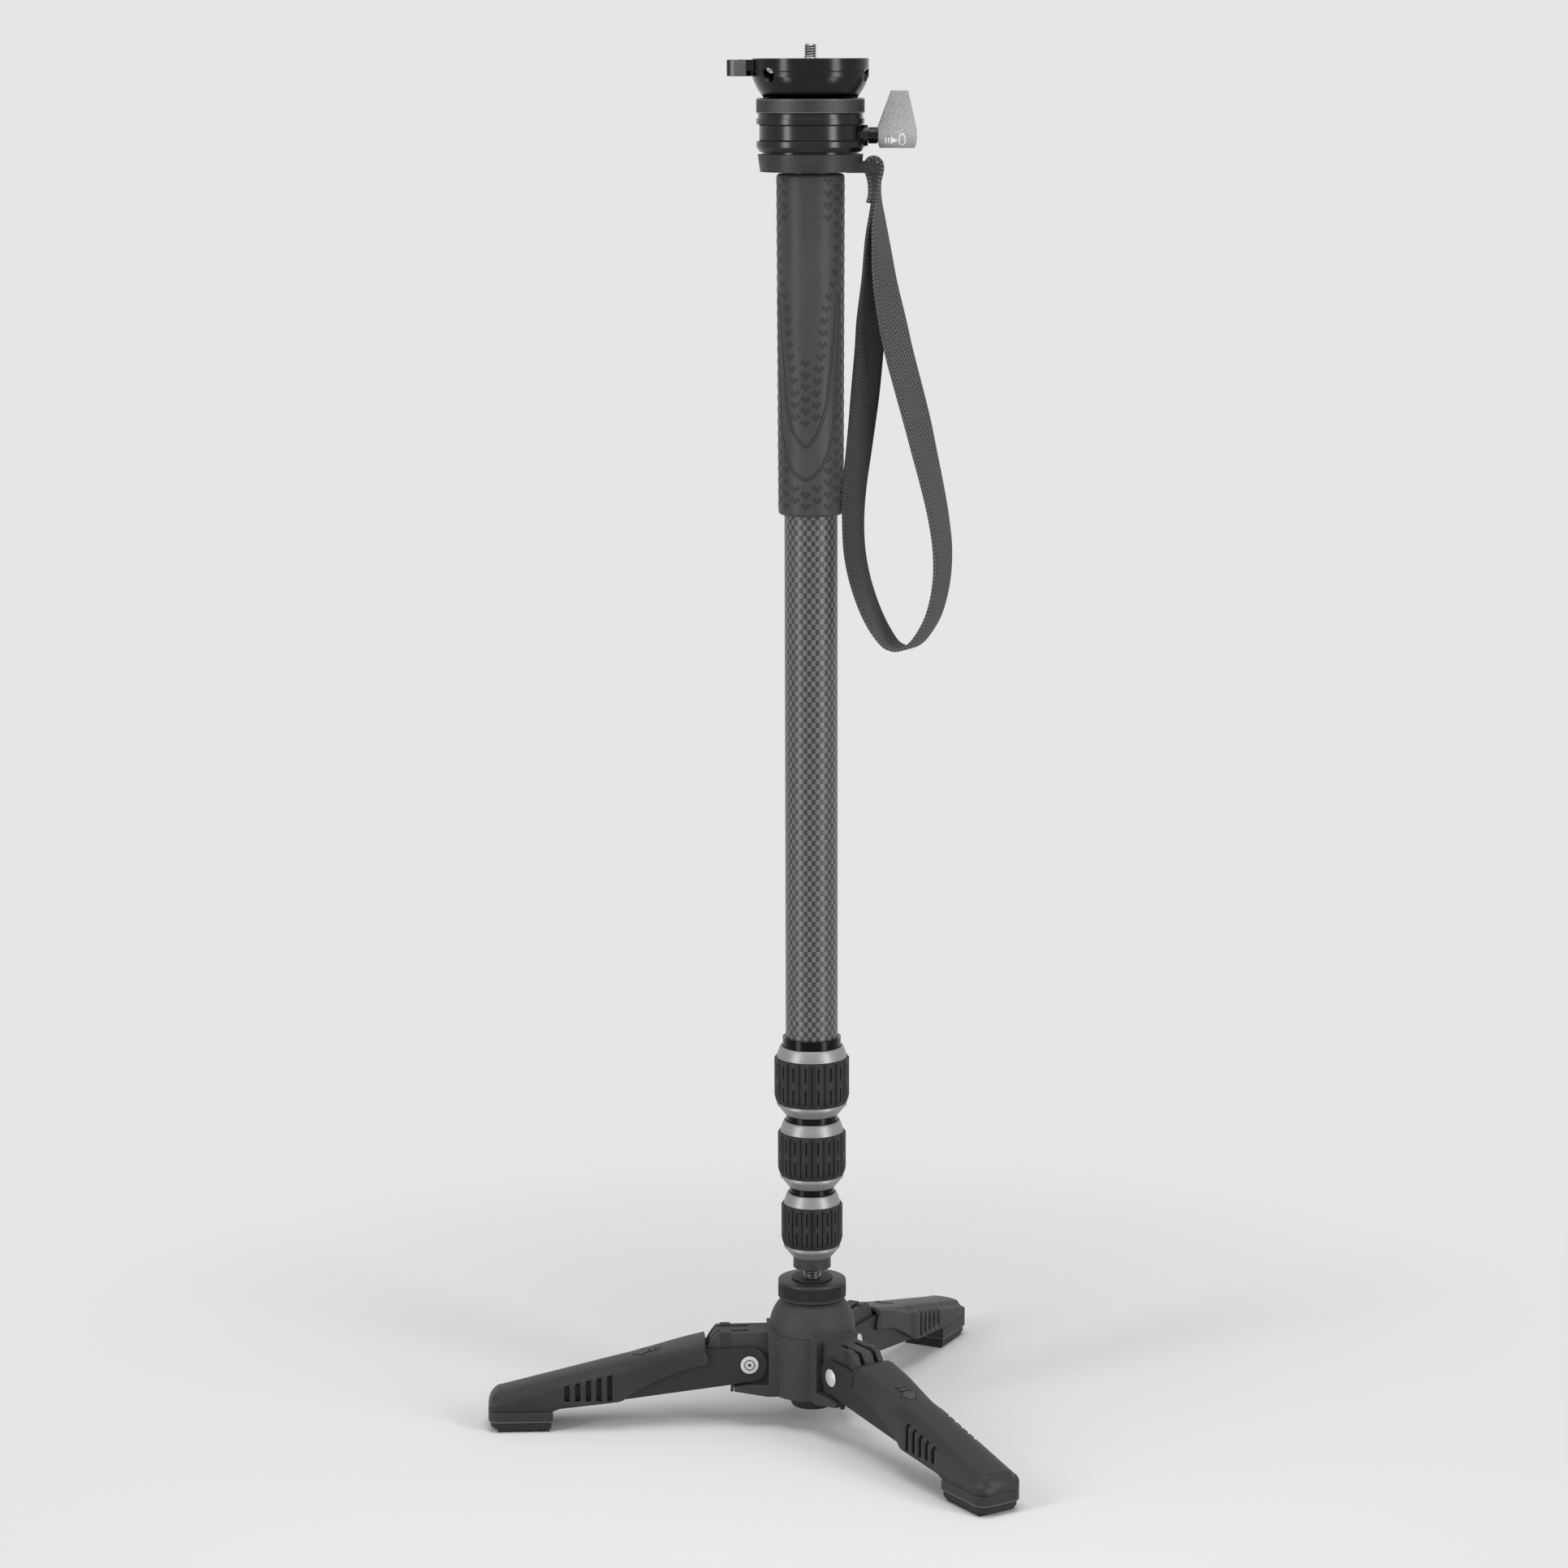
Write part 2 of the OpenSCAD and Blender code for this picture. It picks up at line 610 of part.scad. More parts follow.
module bubble_vial() color("lightyellow")
    translate([-bubble_x, 0, top_z - bubble_h]) cylinder(d = bubble_d, h = bubble_h - bubble_sink);

module grub_screws() color("silver") on_grubs() difference() {
    cylinder(d = grub_d, h = grub_l);
    at(-past) cylinder(d = grub_d / 2, h = grub_socket + past, $fn = 6);
}

module level_ball() color("#161616") difference() {
    union() {
        intersection() {
            at(top_z) sphere(r = bowl_r, $fn = 128);
            at(top_z - bowl_r - past) cylinder(r = platform_r, h = bowl_r + past - disc_h);
        }
        at(disc_z - rim_h) cylinder(r = platform_r, h = rim_h);
    }
    at(top_z) sphere(r = bowl_r - bowl_wall);
    at(top_z - bowl_r - past) cylinder(d = retainer_bolt_d + 2 * seat_clear, h = bowl_r);
    grub_notches(grub_d / 2 * tan(grub_lean) + run_clear);
    translate([-bubble_x, 0, disc_z - bubble_tab_h])
        cylinder(d = bubble_tab_d + 2 * run_clear, h = bubble_tab_h + past);
}

module ball_retainer() color("dimgray") {
    difference() {
        intersection() {
            at(top_z) sphere(r = retainer_low_r);
            at(top_z - retainer_low_r) cylinder(d = retainer_d, h = retainer_low_r / 2);
        }
        at(top_z) sphere(r = retainer_r);
    }
    at(top_z - retainer_low_r - retainer_head_h)
        cylinder(d = retainer_head_d, h = retainer_head_h + retainer_t / 2);
    at(top_z - retainer_low_r) cylinder(d = retainer_bolt_d, h = retainer_low_r - bowl_r + bowl_wall);
}

module level_seat() color("ivory") difference() {
    intersection() {
        at(top_z) sphere(r = level_seat_r + level_seat_t);
        at(top_z - cup_r) cylinder(d = level_seat_out_d, h = cup_r / 2);
    }
    at(top_z) sphere(r = level_seat_r);
    at(top_z - cup_r - past) cylinder(d = level_seat_in_d, h = cup_r);
}

module lock_ring() color("#202020") difference() {
    at(ring_z) rotate_extrude() polygon([[thread_d / 2 + run_clear, 0], [ring_d / 2 - ring_bevel, 0],
        [ring_d / 2, ring_bevel], [ring_d / 2, ring_h - ring_bevel], [ring_d / 2 - ring_bevel, ring_h],
        [thread_d / 2 + run_clear, ring_h]]);
    at(top_z) sphere(r = level_seat_r);
}

module leveling_body() color("#181818") difference() {
    union() {
        rotate_extrude() polygon([[0, body_z], [body_d / 2 - body_taper_in, body_z], [body_d / 2, flange_z],
            [body_d / 2, band_z], [band_d / 2, band_z], [band_d / 2, band_z + band_h],
            [body_d / 2, band_z + band_h], [body_d / 2, groove_z], [groove_d / 2, groove_z],
            [groove_d / 2, ring_z - run_clear], [thread_d / 2, ring_z - run_clear],
            [thread_d / 2, ring_z + ring_h - thread_drop], [0, ring_z + ring_h - thread_drop]]);
        along_x(lever_boss_d / 2, hollow_d / 2 + past, lever_boss_x, lever_z);
    }
    at(top_z) sphere(r = level_seat_r);
    intersection() {
        at(top_z) sphere(r = cup_r);
        at(body_z) cylinder(d = level_seat_out_d + 2 * run_clear, h = top_z - body_z);
    }
    difference() {
        at(top_z - retainer_low_r - retainer_head_h - run_clear)
            cylinder(d = hollow_d, h = retainer_low_r / 2);
        at(top_z) sphere(r = lip_r);
    }
    at(top_z - lip_r - past) cylinder(r = lip_hole_r, h = lip_r);
    at(body_z - past) cylinder(d = stud_d + 2 * seat_clear, h = lever_lift);
    along_x(lever_screw_d / 2 + run_clear, shoe_x - shoe_d / 2, lever_boss_x + past, lever_z);
    translate([shoe_x, 0, lever_z]) cylinder(d = shoe_d + 2 * run_clear, h = top_z - lever_z);
}

module clamp_shoe() color("goldenrod") difference() {
    translate([shoe_x, 0, lever_z + lever_screw_d / 2 + run_clear])
        cylinder(d = shoe_d, h = top_z - lever_z - lever_screw_d);
    at(top_z) sphere(r = level_seat_r);
    at(top_z - disc_h - rim_h - ball_show) cylinder(r = platform_r, h = top_z);
}

module lever_screw() color("dimgray") difference() {
    union() {
        along_x(lever_screw_d / 2, shoe_x - shoe_d / 2 + run_clear, lever_collar_x + past, lever_z);
        along_x(lever_collar_d / 2, lever_collar_x, shank_x, lever_z);
        along_x(shank_d / 2, shank_x - past, shank_x + shank_l, lever_z);
    }
    along_x(cap_screw_d / 2 + seat_clear, shank_x - lever_collar_l, shank_x + shank_l + past, lever_z);
}

module lever_handle() color("#8e8e8e") difference() {
    intersection() {
        at(lever_z) across(handle_hub_d + 2 * past) polygon([
            [handle_x, -handle_hub_d / 4], [handle_x + handle_step / 2, -handle_hub_d / 2],
            [handle_out_x - handle_step / 2, -handle_hub_d / 2], [handle_out_x, -handle_hub_d / 4],
            [handle_out_x, handle_hub_d / 4], [handle_x + handle_set + handle_tip_l, handle_h],
            [handle_x + handle_set, handle_h], [handle_x, handle_hub_d / 3]]);
        union() {
            along_x(handle_hub_d / 2, handle_x, handle_out_x, lever_z);
            at(lever_z) rotate([90, 0, 90]) linear_extrude(handle_out_x) polygon([
                [-handle_hub_d / 2, 0], [handle_hub_d / 2, 0],
                [handle_tip_t / 2, handle_h], [-handle_tip_t / 2, handle_h]]);
        }
    }
    along_x(shank_d / 2 + run_clear, handle_x - past, handle_step_x, lever_z);
    along_x(cap_screw_d / 2 + run_clear, handle_step_x - past, handle_out_x, lever_z);
    along_x(cap_head_d / 2 + run_clear, handle_step_x + handle_step, handle_out_x + past, lever_z);
}

module lever_spring() color("silver")
    translate([handle_step_x + handle_step + run_clear, 0, lever_z])
        coil_spring(lever_spring_l, lever_spring_d, lever_spring_wire, lever_spring_turns);

module lever_cap_screw() color("gray") difference() {
    union() {
        along_x(cap_screw_d / 2, shank_x - lever_collar_l / 2, cap_head_x + past, lever_z);
        along_x(cap_head_d / 2, cap_head_x, cap_head_x + cap_head_h, lever_z);
    }
    translate([cap_head_x + cap_head_h / 2, 0, lever_z]) rotate([0, 90, 0])
        cylinder(d = cap_head_d / 2, h = cap_head_h, $fn = 6);
}

// Grip, collar and strap

module top_plug() color("dimgray") {
    at(collar_z + collar_h - plug_l) cylinder(r = bore_r(1) - seat_clear, h = plug_l);
    at(collar_z + collar_h) cylinder(d = plug_flange_d, h = plug_flange_t);
    at(body_z) cylinder(d = stud_d, h = flange_h);
}

module top_collar() color("#2b2b2b") difference() {
    union() {
        at(collar_z) cylinder(d1 = collar_low_d, d2 = collar_top_d, h = collar_h);
        for (s = [-1, 1]) translate([0, s * (strap_w / 2 + strap_side + prong_t / 2), bar_z])
            across(prong_t) {
                translate([lug_in, -bar_d / 2]) square([bar_x - lug_in, bar_d]);
                translate([bar_x, 0]) circle(d = bar_d);
            }
        translate([bar_x, 0, bar_z]) across(strap_w + 2 * strap_side + prong_t) circle(d = bar_d);
    }
    at(collar_z - past) cylinder(r = tube_r(1) + seat_clear, h = collar_h + 2 * past);
}

module grip() color("#3a3a3a") rotate_extrude() polygon([
    [tube_r(1) + seat_clear, grip_z], [grip_low_d / 2 - grip_round, grip_z],
    for (a = [0:15:90]) [grip_low_d / 2 - grip_round + grip_round * sin(a),
        grip_z + grip_round - grip_round * cos(a)],
    for (a = [90:-15:0]) [grip_top_d / 2 - grip_round + grip_round * sin(a),
        grip_z + grip_l - grip_round + grip_round * cos(a)],
    [tube_r(1) + seat_clear, grip_z + grip_l]]);

// The strap's section at one place: flat, with its edges drawn in
function strap_ring(i) = let (
    last = len(STRAP) - 1,
    here = STRAP[i],
    before = STRAP[max(i - 1, 0)],
    after = STRAP[min(i + 1, last)],
    way = [for (k = [0:2]) after[k] - before[k]],
    t = way / norm(way),
    flat = [sin(here[3]), cos(here[3]), 0],
    square_on = flat - (flat * t) * t,
    w = square_on / norm(square_on),
    n = cross(t, w),
    edge = strap_t / 4)
    [for (c = [[1, -1], [1, 1], [-1, 1], [-1, -1]])
        each let (
            tip = w * c[0] * strap_w / 2 + n * c[1] * edge,
            flank = w * c[0] * (strap_w / 2 - edge) + n * c[1] * strap_t / 2,
            middle = [here[0], here[1], here[2]])
        c[0] == c[1] ? [middle + tip, middle + flank] : [middle + flank, middle + tip]];

module strap() color("#303030") skin([for (i = [0:len(STRAP) - 1]) strap_ring(i)]);

// Pole sections and twist locks

module tube(i) color("#4a4a4a") ring(tube_r(i), bore_r(i), tube_z(i), tube_top(i));

module lock_base(i) color("#151515") difference() {
    at(base_z(i)) cylinder(r = base_r(i), h = base_top(i) - base_z(i));
    at(base_z(i) - past) cylinder(r = tube_r(i + 1) + run_clear, h = base_top(i) - base_z(i) + 2 * past);
    at(tube_z(i)) cylinder(r = tube_r(i) + seat_clear, h = base_top(i));
}

module lock_nut(i) color("silver") difference() {
    at(lock_z(i)) rotate_extrude() polygon([
        [0, 0], [tube_r(i) + nut_end_stand, 0], [ring_r(i) - nut_bevel, nut_foot_h - nut_band - nut_bevel],
        [ring_r(i), nut_foot_h - nut_band],
        [ring_r(i), nut_foot_h], [ring_r(i) - sleeve_seat, nut_foot_h],
        [ring_r(i) - sleeve_seat, nut_foot_h + sleeve_height(i)],
        [ring_r(i), nut_foot_h + sleeve_height(i)], [ring_r(i), nut_height(i) - nut_head_h / 2],
        [ring_r(i) - ring_taper, nut_height(i)], [0, nut_height(i)]]);
    at(lock_z(i) - past) cylinder(r = tube_r(i + 1) + run_clear, h = nut_height(i));
    at(lock_z(i) + nut_floor) cylinder(r = base_r(i) + run_clear, h = nut_height(i));
}

module lock_sleeve(i) color("#333333") at(lock_z(i) + nut_foot_h) rotate_extrude() polygon([
    [ring_r(i) - sleeve_seat + seat_clear, seat_clear], [ring_r(i), seat_clear],
    [tube_r(i) + sleeve_stand, sleeve_taper], [tube_r(i) + sleeve_stand, sleeve_height(i) - sleeve_bevel],
    [tube_r(i) + sleeve_stand - sleeve_bevel, sleeve_height(i) - seat_clear],
    [ring_r(i) - sleeve_seat + seat_clear, sleeve_height(i) - seat_clear]]);

module lock_collet(i) color("whitesmoke") difference() {
    ring(base_r(i), tube_r(i + 1) + run_clear, lock_z(i) + nut_floor + run_clear, base_z(i) - run_clear);
    translate([0, -collet_slit / 2, lock_z(i)]) cube([2 * base_r(i), collet_slit, 2 * collet_h]);
}

module guide_shims(i) color("whitesmoke") difference() {
    ring(tube_r(i) + seat_clear + shim_t, tube_r(i) + seat_clear, tube_top(i) - shim_l, tube_top(i));
    translate([-2 * tube_r(i), -collet_slit / 2, tube_top(i) - 2 * shim_l])
        cube([4 * tube_r(i), collet_slit, 3 * shim_l]);
}

module end_cap() color("#262626") difference() {
    union() {
        at(cap_z) cylinder(d = end_cap_d, h = end_cap_h);
        at(cap_z) cylinder(r = bore_r(LOCK_COUNT + 1) - seat_clear, h = 3 * end_cap_h);
    }
    difference() {
        at(cap_z + plate_t) cylinder(r = tube_r(LOCK_COUNT + 1) + seat_clear, h = end_cap_h);
        cylinder(r = bore_r(LOCK_COUNT + 1) - seat_clear, h = top_z);
    }
    at(cap_z - past) cylinder(d = stud_d + 2 * seat_clear, h = 2 * end_cap_h + past);
}

// Foot

module ball_stud() color("silver") {
    at(dome_z) sphere(r = ball_r);
    at(dome_z) cylinder(d = stud_d, h = cap_z + 2 * end_cap_h - past - dome_z);
}

module stud_washer() color("#141414")
    ring(washer_d / 2, stud_d / 2 + seat_clear, washer_z, washer_z + washer_t);

module knob() color("#1e1e1e") difference() {
    at(knob_z) rotate_extrude() polygon([
        [stud_d / 2 + run_clear, 0], [knob_d / 2 - knob_bevel, 0], [knob_d / 2, knob_bevel],
        [knob_d / 2, knob_h - knob_top_bevel], [knob_d / 2 - knob_top_bevel, knob_h],
        [stud_d / 2 + run_clear, knob_h]]);
    at(dome_z) sphere(r = dome_r + run_clear);
}

module ball_seat() color("ivory") difference() {
    ring(socket_r - run_clear, ball_r / 2, seat_z, seat_z + ball_seat_h);
    at(dome_z) sphere(r = socket_r);
}

module hub_boss() {
    ledge_top = -arm_end_r - ledge_gap;
    ledge_end = arm_low(ledge_l) - ledge_gap;
    across(boss_w) polygon([[boss_in, hub_z - pivot_z], [-arm_end_r, hub_z - pivot_z],
        [ledge_l, ledge_end - plate_t], [ledge_l, ledge_end], [0, ledge_top], [boss_out, ledge_top],
        [boss_out, lug_h + boss_rise], [boss_in, lug_h + boss_rise]]);
}

module hub_lug() {
    low = -arm_end_r - ledge_gap;
    difference() {
        intersection() {
            across(lug_w) translate([boss_in, low]) square([lug_r - boss_in, lug_h - low]);
            across(lug_w) circle(r = lug_r);
        }
        for (s = [-1, 1]) translate([0, s * lug_slot_pitch / 2 - lug_slot_w / 2, lug_h - lug_slot_depth])
            cube([lug_r, lug_slot_w, lug_slot_depth + past]);
    }
}

module hub() color("#343434") difference() {
    union() {
        at(hub_z) cylinder(r = dome_r, h = hub_h);
        intersection() {
            at(dome_z) sphere(r = dome_r);
            at(dome_z - past) cylinder(r = dome_r, h = dome_r + past);
        }
        for (k = [0:2]) leg_frame(k) { hub_boss(); hub_lug(); }
    }
    at(dome_z) sphere(r = socket_r);
    at(hub_z - past) cylinder(r = socket_r, h = hub_h + past);
    at(dome_z) cylinder(r1 = stud_d / 2 / cos(foot_lean) + 2 * run_clear,
        r2 = stud_d / 2 / cos(foot_lean) + 2 * run_clear + 2 * dome_r * tan(foot_lean), h = 2 * dome_r);
    for (k = [0:2]) leg_frame(k) across(boss_w) circle(d = pin_d + 2 * seat_clear);
}

module rubber_foot() color("#222222") {
    cylinder(d1 = foot_tip_d, d2 = foot_top_d, h = foot_h);
    at(foot_h) cylinder(r = socket_r - seat_clear, h = seat_z - foot_h - run_clear);
}

module pivot_pins() color("silver") for (k = [0:2]) leg_frame(k) {
    across(2 * (arm_half + run_clear + pin_head_t)) circle(d = pin_d);
    for (s = [-1, 1]) translate([0, s * (arm_half + run_clear + pin_head_t / 2), 0])
        across(pin_head_t) circle(d = pin_head_d);
}

// Legs, each in its own frame

module arm_side() {
    circle(r = arm_end_r);
    polygon([[0, arm_end_r], [shell_in, crown(shell_in) - shell_wall - roof_gap],
        [arm_l, crown(arm_l) - shell_wall - roof_gap], [arm_l, arm_low(arm_l)], [0, arm_low(0)]]);
    translate([ledge_l + run_clear, arm_low(ledge_l) - arm_tab_h]) square([arm_tab_w, arm_tab_h + past]);
}

module arm_channel() {
    translate([-arm_end_r - past, -leg_l]) square([lug_r + arm_end_r + past, 2 * leg_l]);
    polygon([[lug_r - past, arm_low(lug_r - past) + plate_t], [arm_l + past, arm_low(arm_l + past) + plate_t],
        [arm_l + past, leg_l], [lug_r - past, leg_l]]);
}

module leg_arm(k) color("#272727") leg_frame(k) {
    difference() {
        across(2 * arm_half) arm_side();
        across(arm_bore) arm_channel();
        across(2 * boss_w) circle(d = pin_d + 2 * seat_clear);
    }
    translate([stop_x, -arm_bore / 2 - plate_t / 2, arm_low(stop_x)])
        cube([plate_t, arm_bore + plate_t, arm_end_r + leg_spring_d / 2]);
}

module shell_side() {
    nose = [leg_l - nose_r, crown(leg_l - nose_r) - nose_r];
    polygon([
        [skirt_x, skirt_z], [skirt_x, crown(shell_in) - skirt_reach], [shell_in, crown(shell_in)],
        for (a = [90 - shell_slope:-12:0]) nose + nose_r * [cos(a), sin(a)],
        [leg_l, pad_top], [pad_in, pad_top], [pad_in - pad_t / 2, pad_top + pad_t / 4],
        for (i = [8:-1:1]) let (x = skirt_x + (skirt_deep_x - skirt_x) * i / 8) [x, skirt_low(x)]]);
}

module shell_plan(half) {
    nose = [for (a = [0:15:90]) [leg_l - nose_l + nose_l * sin(a),
        nose_flat + (half - nose_flat) * cos(a)]];
    edge = concat([[0, half], [slot_x, half + shell_bulge]], nose);
    last = len(edge) - 1;
    polygon([for (i = [0:last]) edge[i], for (i = [last:-1:0]) [edge[i][0], -edge[i][1]]]);
}

// Cross-section of the shell, with its top edges rounded
module shell_section() {
    half = shell_half + shell_bulge - shell_round;
    polygon([[-half - shell_round, -leg_l], [half + shell_round, -leg_l],
        for (a = [0:15:90]) [half, -shell_round] + shell_round * [cos(a), sin(a)],
        for (a = [90:15:180]) [-half, -shell_round] + shell_round * [cos(a), sin(a)]]);
}

module shell_outer() intersection() {
    across(3 * shell_half) shell_side();
    at(-leg_l) linear_extrude(2 * leg_l) shell_plan(shell_half);
    at(crown(0) + shell_flat) rotate([0, shell_slope, 0]) rotate([90, 0, 90])
        linear_extrude(2 * leg_l) shell_section();
}

module shell_bore() {
    end = arm_l + shell_wall;
    polygon([[0, -leg_l], [end, -leg_l], [end, crown(end) - shell_wall],
        [shell_in, crown(shell_in) - shell_wall], [0, crown(shell_in) - shell_wall]]);
}

module grip_slots() {
    for (s = [-1, 1], i = [0:slot_count - 1])
        translate([slot_x + i * slot_pitch, s * (shell_half + shell_bulge) - slot_depth, pad_top + slot_low])
            cube([slot_w, 2 * slot_depth, slot_h - i * slot_fall]);
}

// The rib under the shell's roof that pushes the return spring
module spring_rib() {
    low = -rib_x * tan(arm_slope) - leg_spring_d / 2;
    across(rib_w) polygon([[rib_x, low], [rib_x + plate_t, low],
        [rib_x + plate_t, crown(rib_x + plate_t) - shell_wall / 2], [rib_x, crown(rib_x) - shell_wall / 2]]);
}

module leg_shell(k) color("#3b3b3b") leg_frame(k) {
    difference() {
        shell_outer();
        across(2 * (arm_half + run_clear)) shell_bore();
        across(arm_bore) circle(r = lug_r + run_clear);
        grip_slots();
    }
    spring_rib();
}

module pad_outline(inset) {
    intersection() {
        shell_plan(shell_half - inset);
        translate([pad_in, -leg_l]) square([pad_l - inset, 2 * leg_l]);
    }
}

module leg_pad(k) color("#333333") leg_frame(k)
    at(pad_z) linear_extrude(pad_t - seat_clear) pad_outline(0);

module leg_sole(k) color("#242424") leg_frame(k) difference() {
    at(sole_z) linear_extrude(sole_t - seat_clear) pad_outline(sole_inset);
    for (i = [1:tread_count]) translate([pad_in + i * pad_l / (tread_count + 1), -leg_l, sole_z - past])
        cube([tread_w, 2 * leg_l, tread_depth + past]);
}

module leg_spring(k) color("silver") leg_frame(k)
    translate([rib_x + plate_t + run_clear, 0, -rib_x * tan(arm_slope)]) rotate([0, arm_slope, 0])
        coil_spring((stop_x - rib_x - plate_t) / cos(arm_slope) - 2 * run_clear, leg_spring_d,
            leg_spring_wire, leg_spring_turns);

camera_screw();
platform_disc();
bubble_vial();
grub_screws();
level_ball();
ball_retainer();
level_seat();
lock_ring();
leveling_body();
clamp_shoe();
lever_screw();
lever_handle();
lever_spring();
lever_cap_screw();
top_plug();
top_collar();
grip();
strap();
tube(1);  // tube_1
tube(2);  // tube_2
tube(3);  // tube_3
tube(4);  // tube_4
lock_base(1);  // lock_base_1
lock_base(2);  // lock_base_2
lock_base(3);  // lock_base_3
lock_nut(1);  // lock_nut_1
lock_nut(2);  // lock_nut_2
lock_nut(3);  // lock_nut_3
lock_sleeve(1);  // lock_sleeve_1
lock_sleeve(2);  // lock_sleeve_2
lock_sleeve(3);  // lock_sleeve_3
lock_collet(1);  // lock_collet_1
lock_collet(2);  // lock_collet_2
lock_collet(3);  // lock_collet_3
guide_shims(2);  // guide_shims_2
guide_shims(3);  // guide_shims_3
guide_shims(4);  // guide_shims_4
end_cap();
ball_stud();
stud_washer();
knob();
ball_seat();
hub();
rubber_foot();
pivot_pins();
leg_arm(0);  // left_arm
leg_arm(1);  // front_arm
leg_arm(2);  // rear_arm
leg_shell(0);  // left_shell
leg_shell(1);  // front_shell
leg_shell(2);  // rear_shell
leg_pad(0);  // left_pad
leg_pad(1);  // front_pad
leg_pad(2);  // rear_pad
leg_sole(0);  // left_sole
leg_sole(1);  // front_sole
leg_sole(2);  // rear_sole
leg_spring(0);  // left_spring
leg_spring(1);  // front_spring
leg_spring(2);  // rear_spring
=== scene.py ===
"""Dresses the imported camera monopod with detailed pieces, materials, light and a camera.

Sizes in this file are in millimetres unless a name says otherwise.
"""

import json
from math import asin, copysign, cos, floor, hypot, pi, radians, sin, sqrt

import bmesh
import bpy
from mathutils import Matrix, Vector

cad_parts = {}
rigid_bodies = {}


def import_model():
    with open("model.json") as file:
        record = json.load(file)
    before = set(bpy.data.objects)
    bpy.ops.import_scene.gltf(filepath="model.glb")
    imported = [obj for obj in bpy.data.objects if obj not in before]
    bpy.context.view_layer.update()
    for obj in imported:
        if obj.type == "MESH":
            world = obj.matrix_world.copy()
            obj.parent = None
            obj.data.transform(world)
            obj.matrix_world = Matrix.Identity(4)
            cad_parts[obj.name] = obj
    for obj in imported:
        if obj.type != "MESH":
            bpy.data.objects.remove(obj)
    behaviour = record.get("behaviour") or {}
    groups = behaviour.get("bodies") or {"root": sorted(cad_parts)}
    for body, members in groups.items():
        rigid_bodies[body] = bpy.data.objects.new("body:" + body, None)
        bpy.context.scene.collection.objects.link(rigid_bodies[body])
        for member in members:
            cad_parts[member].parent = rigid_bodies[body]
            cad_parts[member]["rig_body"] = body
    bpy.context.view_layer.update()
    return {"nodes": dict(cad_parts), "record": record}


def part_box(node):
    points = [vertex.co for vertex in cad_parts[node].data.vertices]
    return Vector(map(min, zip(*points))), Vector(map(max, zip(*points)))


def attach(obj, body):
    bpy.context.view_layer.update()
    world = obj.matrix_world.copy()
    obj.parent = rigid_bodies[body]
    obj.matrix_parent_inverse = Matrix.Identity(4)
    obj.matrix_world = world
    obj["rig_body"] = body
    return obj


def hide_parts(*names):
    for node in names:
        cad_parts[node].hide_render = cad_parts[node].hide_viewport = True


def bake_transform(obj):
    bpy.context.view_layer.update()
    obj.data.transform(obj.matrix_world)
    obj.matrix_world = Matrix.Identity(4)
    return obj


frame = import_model()
NODES = frame["nodes"]
MM = 0.001
TURN = 2 * pi


# Camera, at the photograph's place and angle
IMAGE_SIDE = 1932
FOCAL_PIXELS = 4950
SENSOR = 36
CAMERA_PLACE = (-14.57, -2104, 724.8)
CAMERA_DOWN = 10.25
CAMERA_ROLL = -0.15


def make_camera():
    data = bpy.data.cameras.new("photo_camera")
    data.sensor_width = SENSOR
    data.lens = FOCAL_PIXELS / IMAGE_SIDE * SENSOR
    camera = bpy.data.objects.new("photo_camera", data)
    place = Matrix.Translation(Vector(CAMERA_PLACE) * MM)
    pitch = Matrix.Rotation(radians(90 - CAMERA_DOWN), 4, "X")
    roll = Matrix.Rotation(radians(CAMERA_ROLL), 4, "Z")
    camera.matrix_world = place @ pitch @ roll
    bpy.context.scene.collection.objects.link(camera)
    bpy.context.scene.camera = camera


make_camera()


# Nodes of a material
def node(tree, kind, values=None, **settings):
    made = tree.nodes.new(kind)
    for key, value in settings.items():
        setattr(made, key, value)
    for key, value in (values or {}).items():
        if isinstance(value, bpy.types.NodeSocket):
            tree.links.new(value, made.inputs[key])
        else:
            made.inputs[key].default_value = value
    return made


def calc(tree, operation, a, b=0.0):
    return node(tree, "ShaderNodeMath", {0: a, 1: b}, operation=operation).outputs[0]


def times(tree, a, b):
    return calc(tree, "MULTIPLY", a, b)


def place_mm(tree):
    """The place on the part in millimetres, as one vector and as its three parts."""
    coords = node(tree, "ShaderNodeTexCoord").outputs["Object"]
    scaled = node(tree, "ShaderNodeVectorMath", {0: coords, "Scale": 1 / MM}, operation="SCALE")
    vector = scaled.outputs[0]
    parts = node(tree, "ShaderNodeSeparateXYZ", {0: vector}).outputs
    return vector, parts


def noise(tree, vector, size, detail=3.0):
    values = {"Vector": vector, "Scale": 1 / size, "Detail": detail}
    return node(tree, "ShaderNodeTexNoise", values).outputs["Fac"]


def between(tree, factor, low, high):
    """A number that goes from low to high as factor goes from 0 to 1."""
    return node(tree, "ShaderNodeMapRange", {0: factor, 3: low, 4: high}).outputs[0]


def tint(tree, factor, first, second):
    mix = node(tree, "ShaderNodeMix", {0: factor, 6: first, 7: second}, data_type="RGBA")
    return mix.outputs[2]


def grey(level, warm=0.0):
    return (level * (1 + warm), level, level * (1 - warm), 1)


def start(name, roughness, metallic=0.0, specular=0.5):
    material = bpy.data.materials.new(name)
    material.use_nodes = True
    tree = material.node_tree
    shader = tree.nodes["Principled BSDF"]
    shader.inputs["Roughness"].default_value = roughness
    shader.inputs["Metallic"].default_value = metallic
    shader.inputs["Specular IOR Level"].default_value = specular
    return material, tree, shader


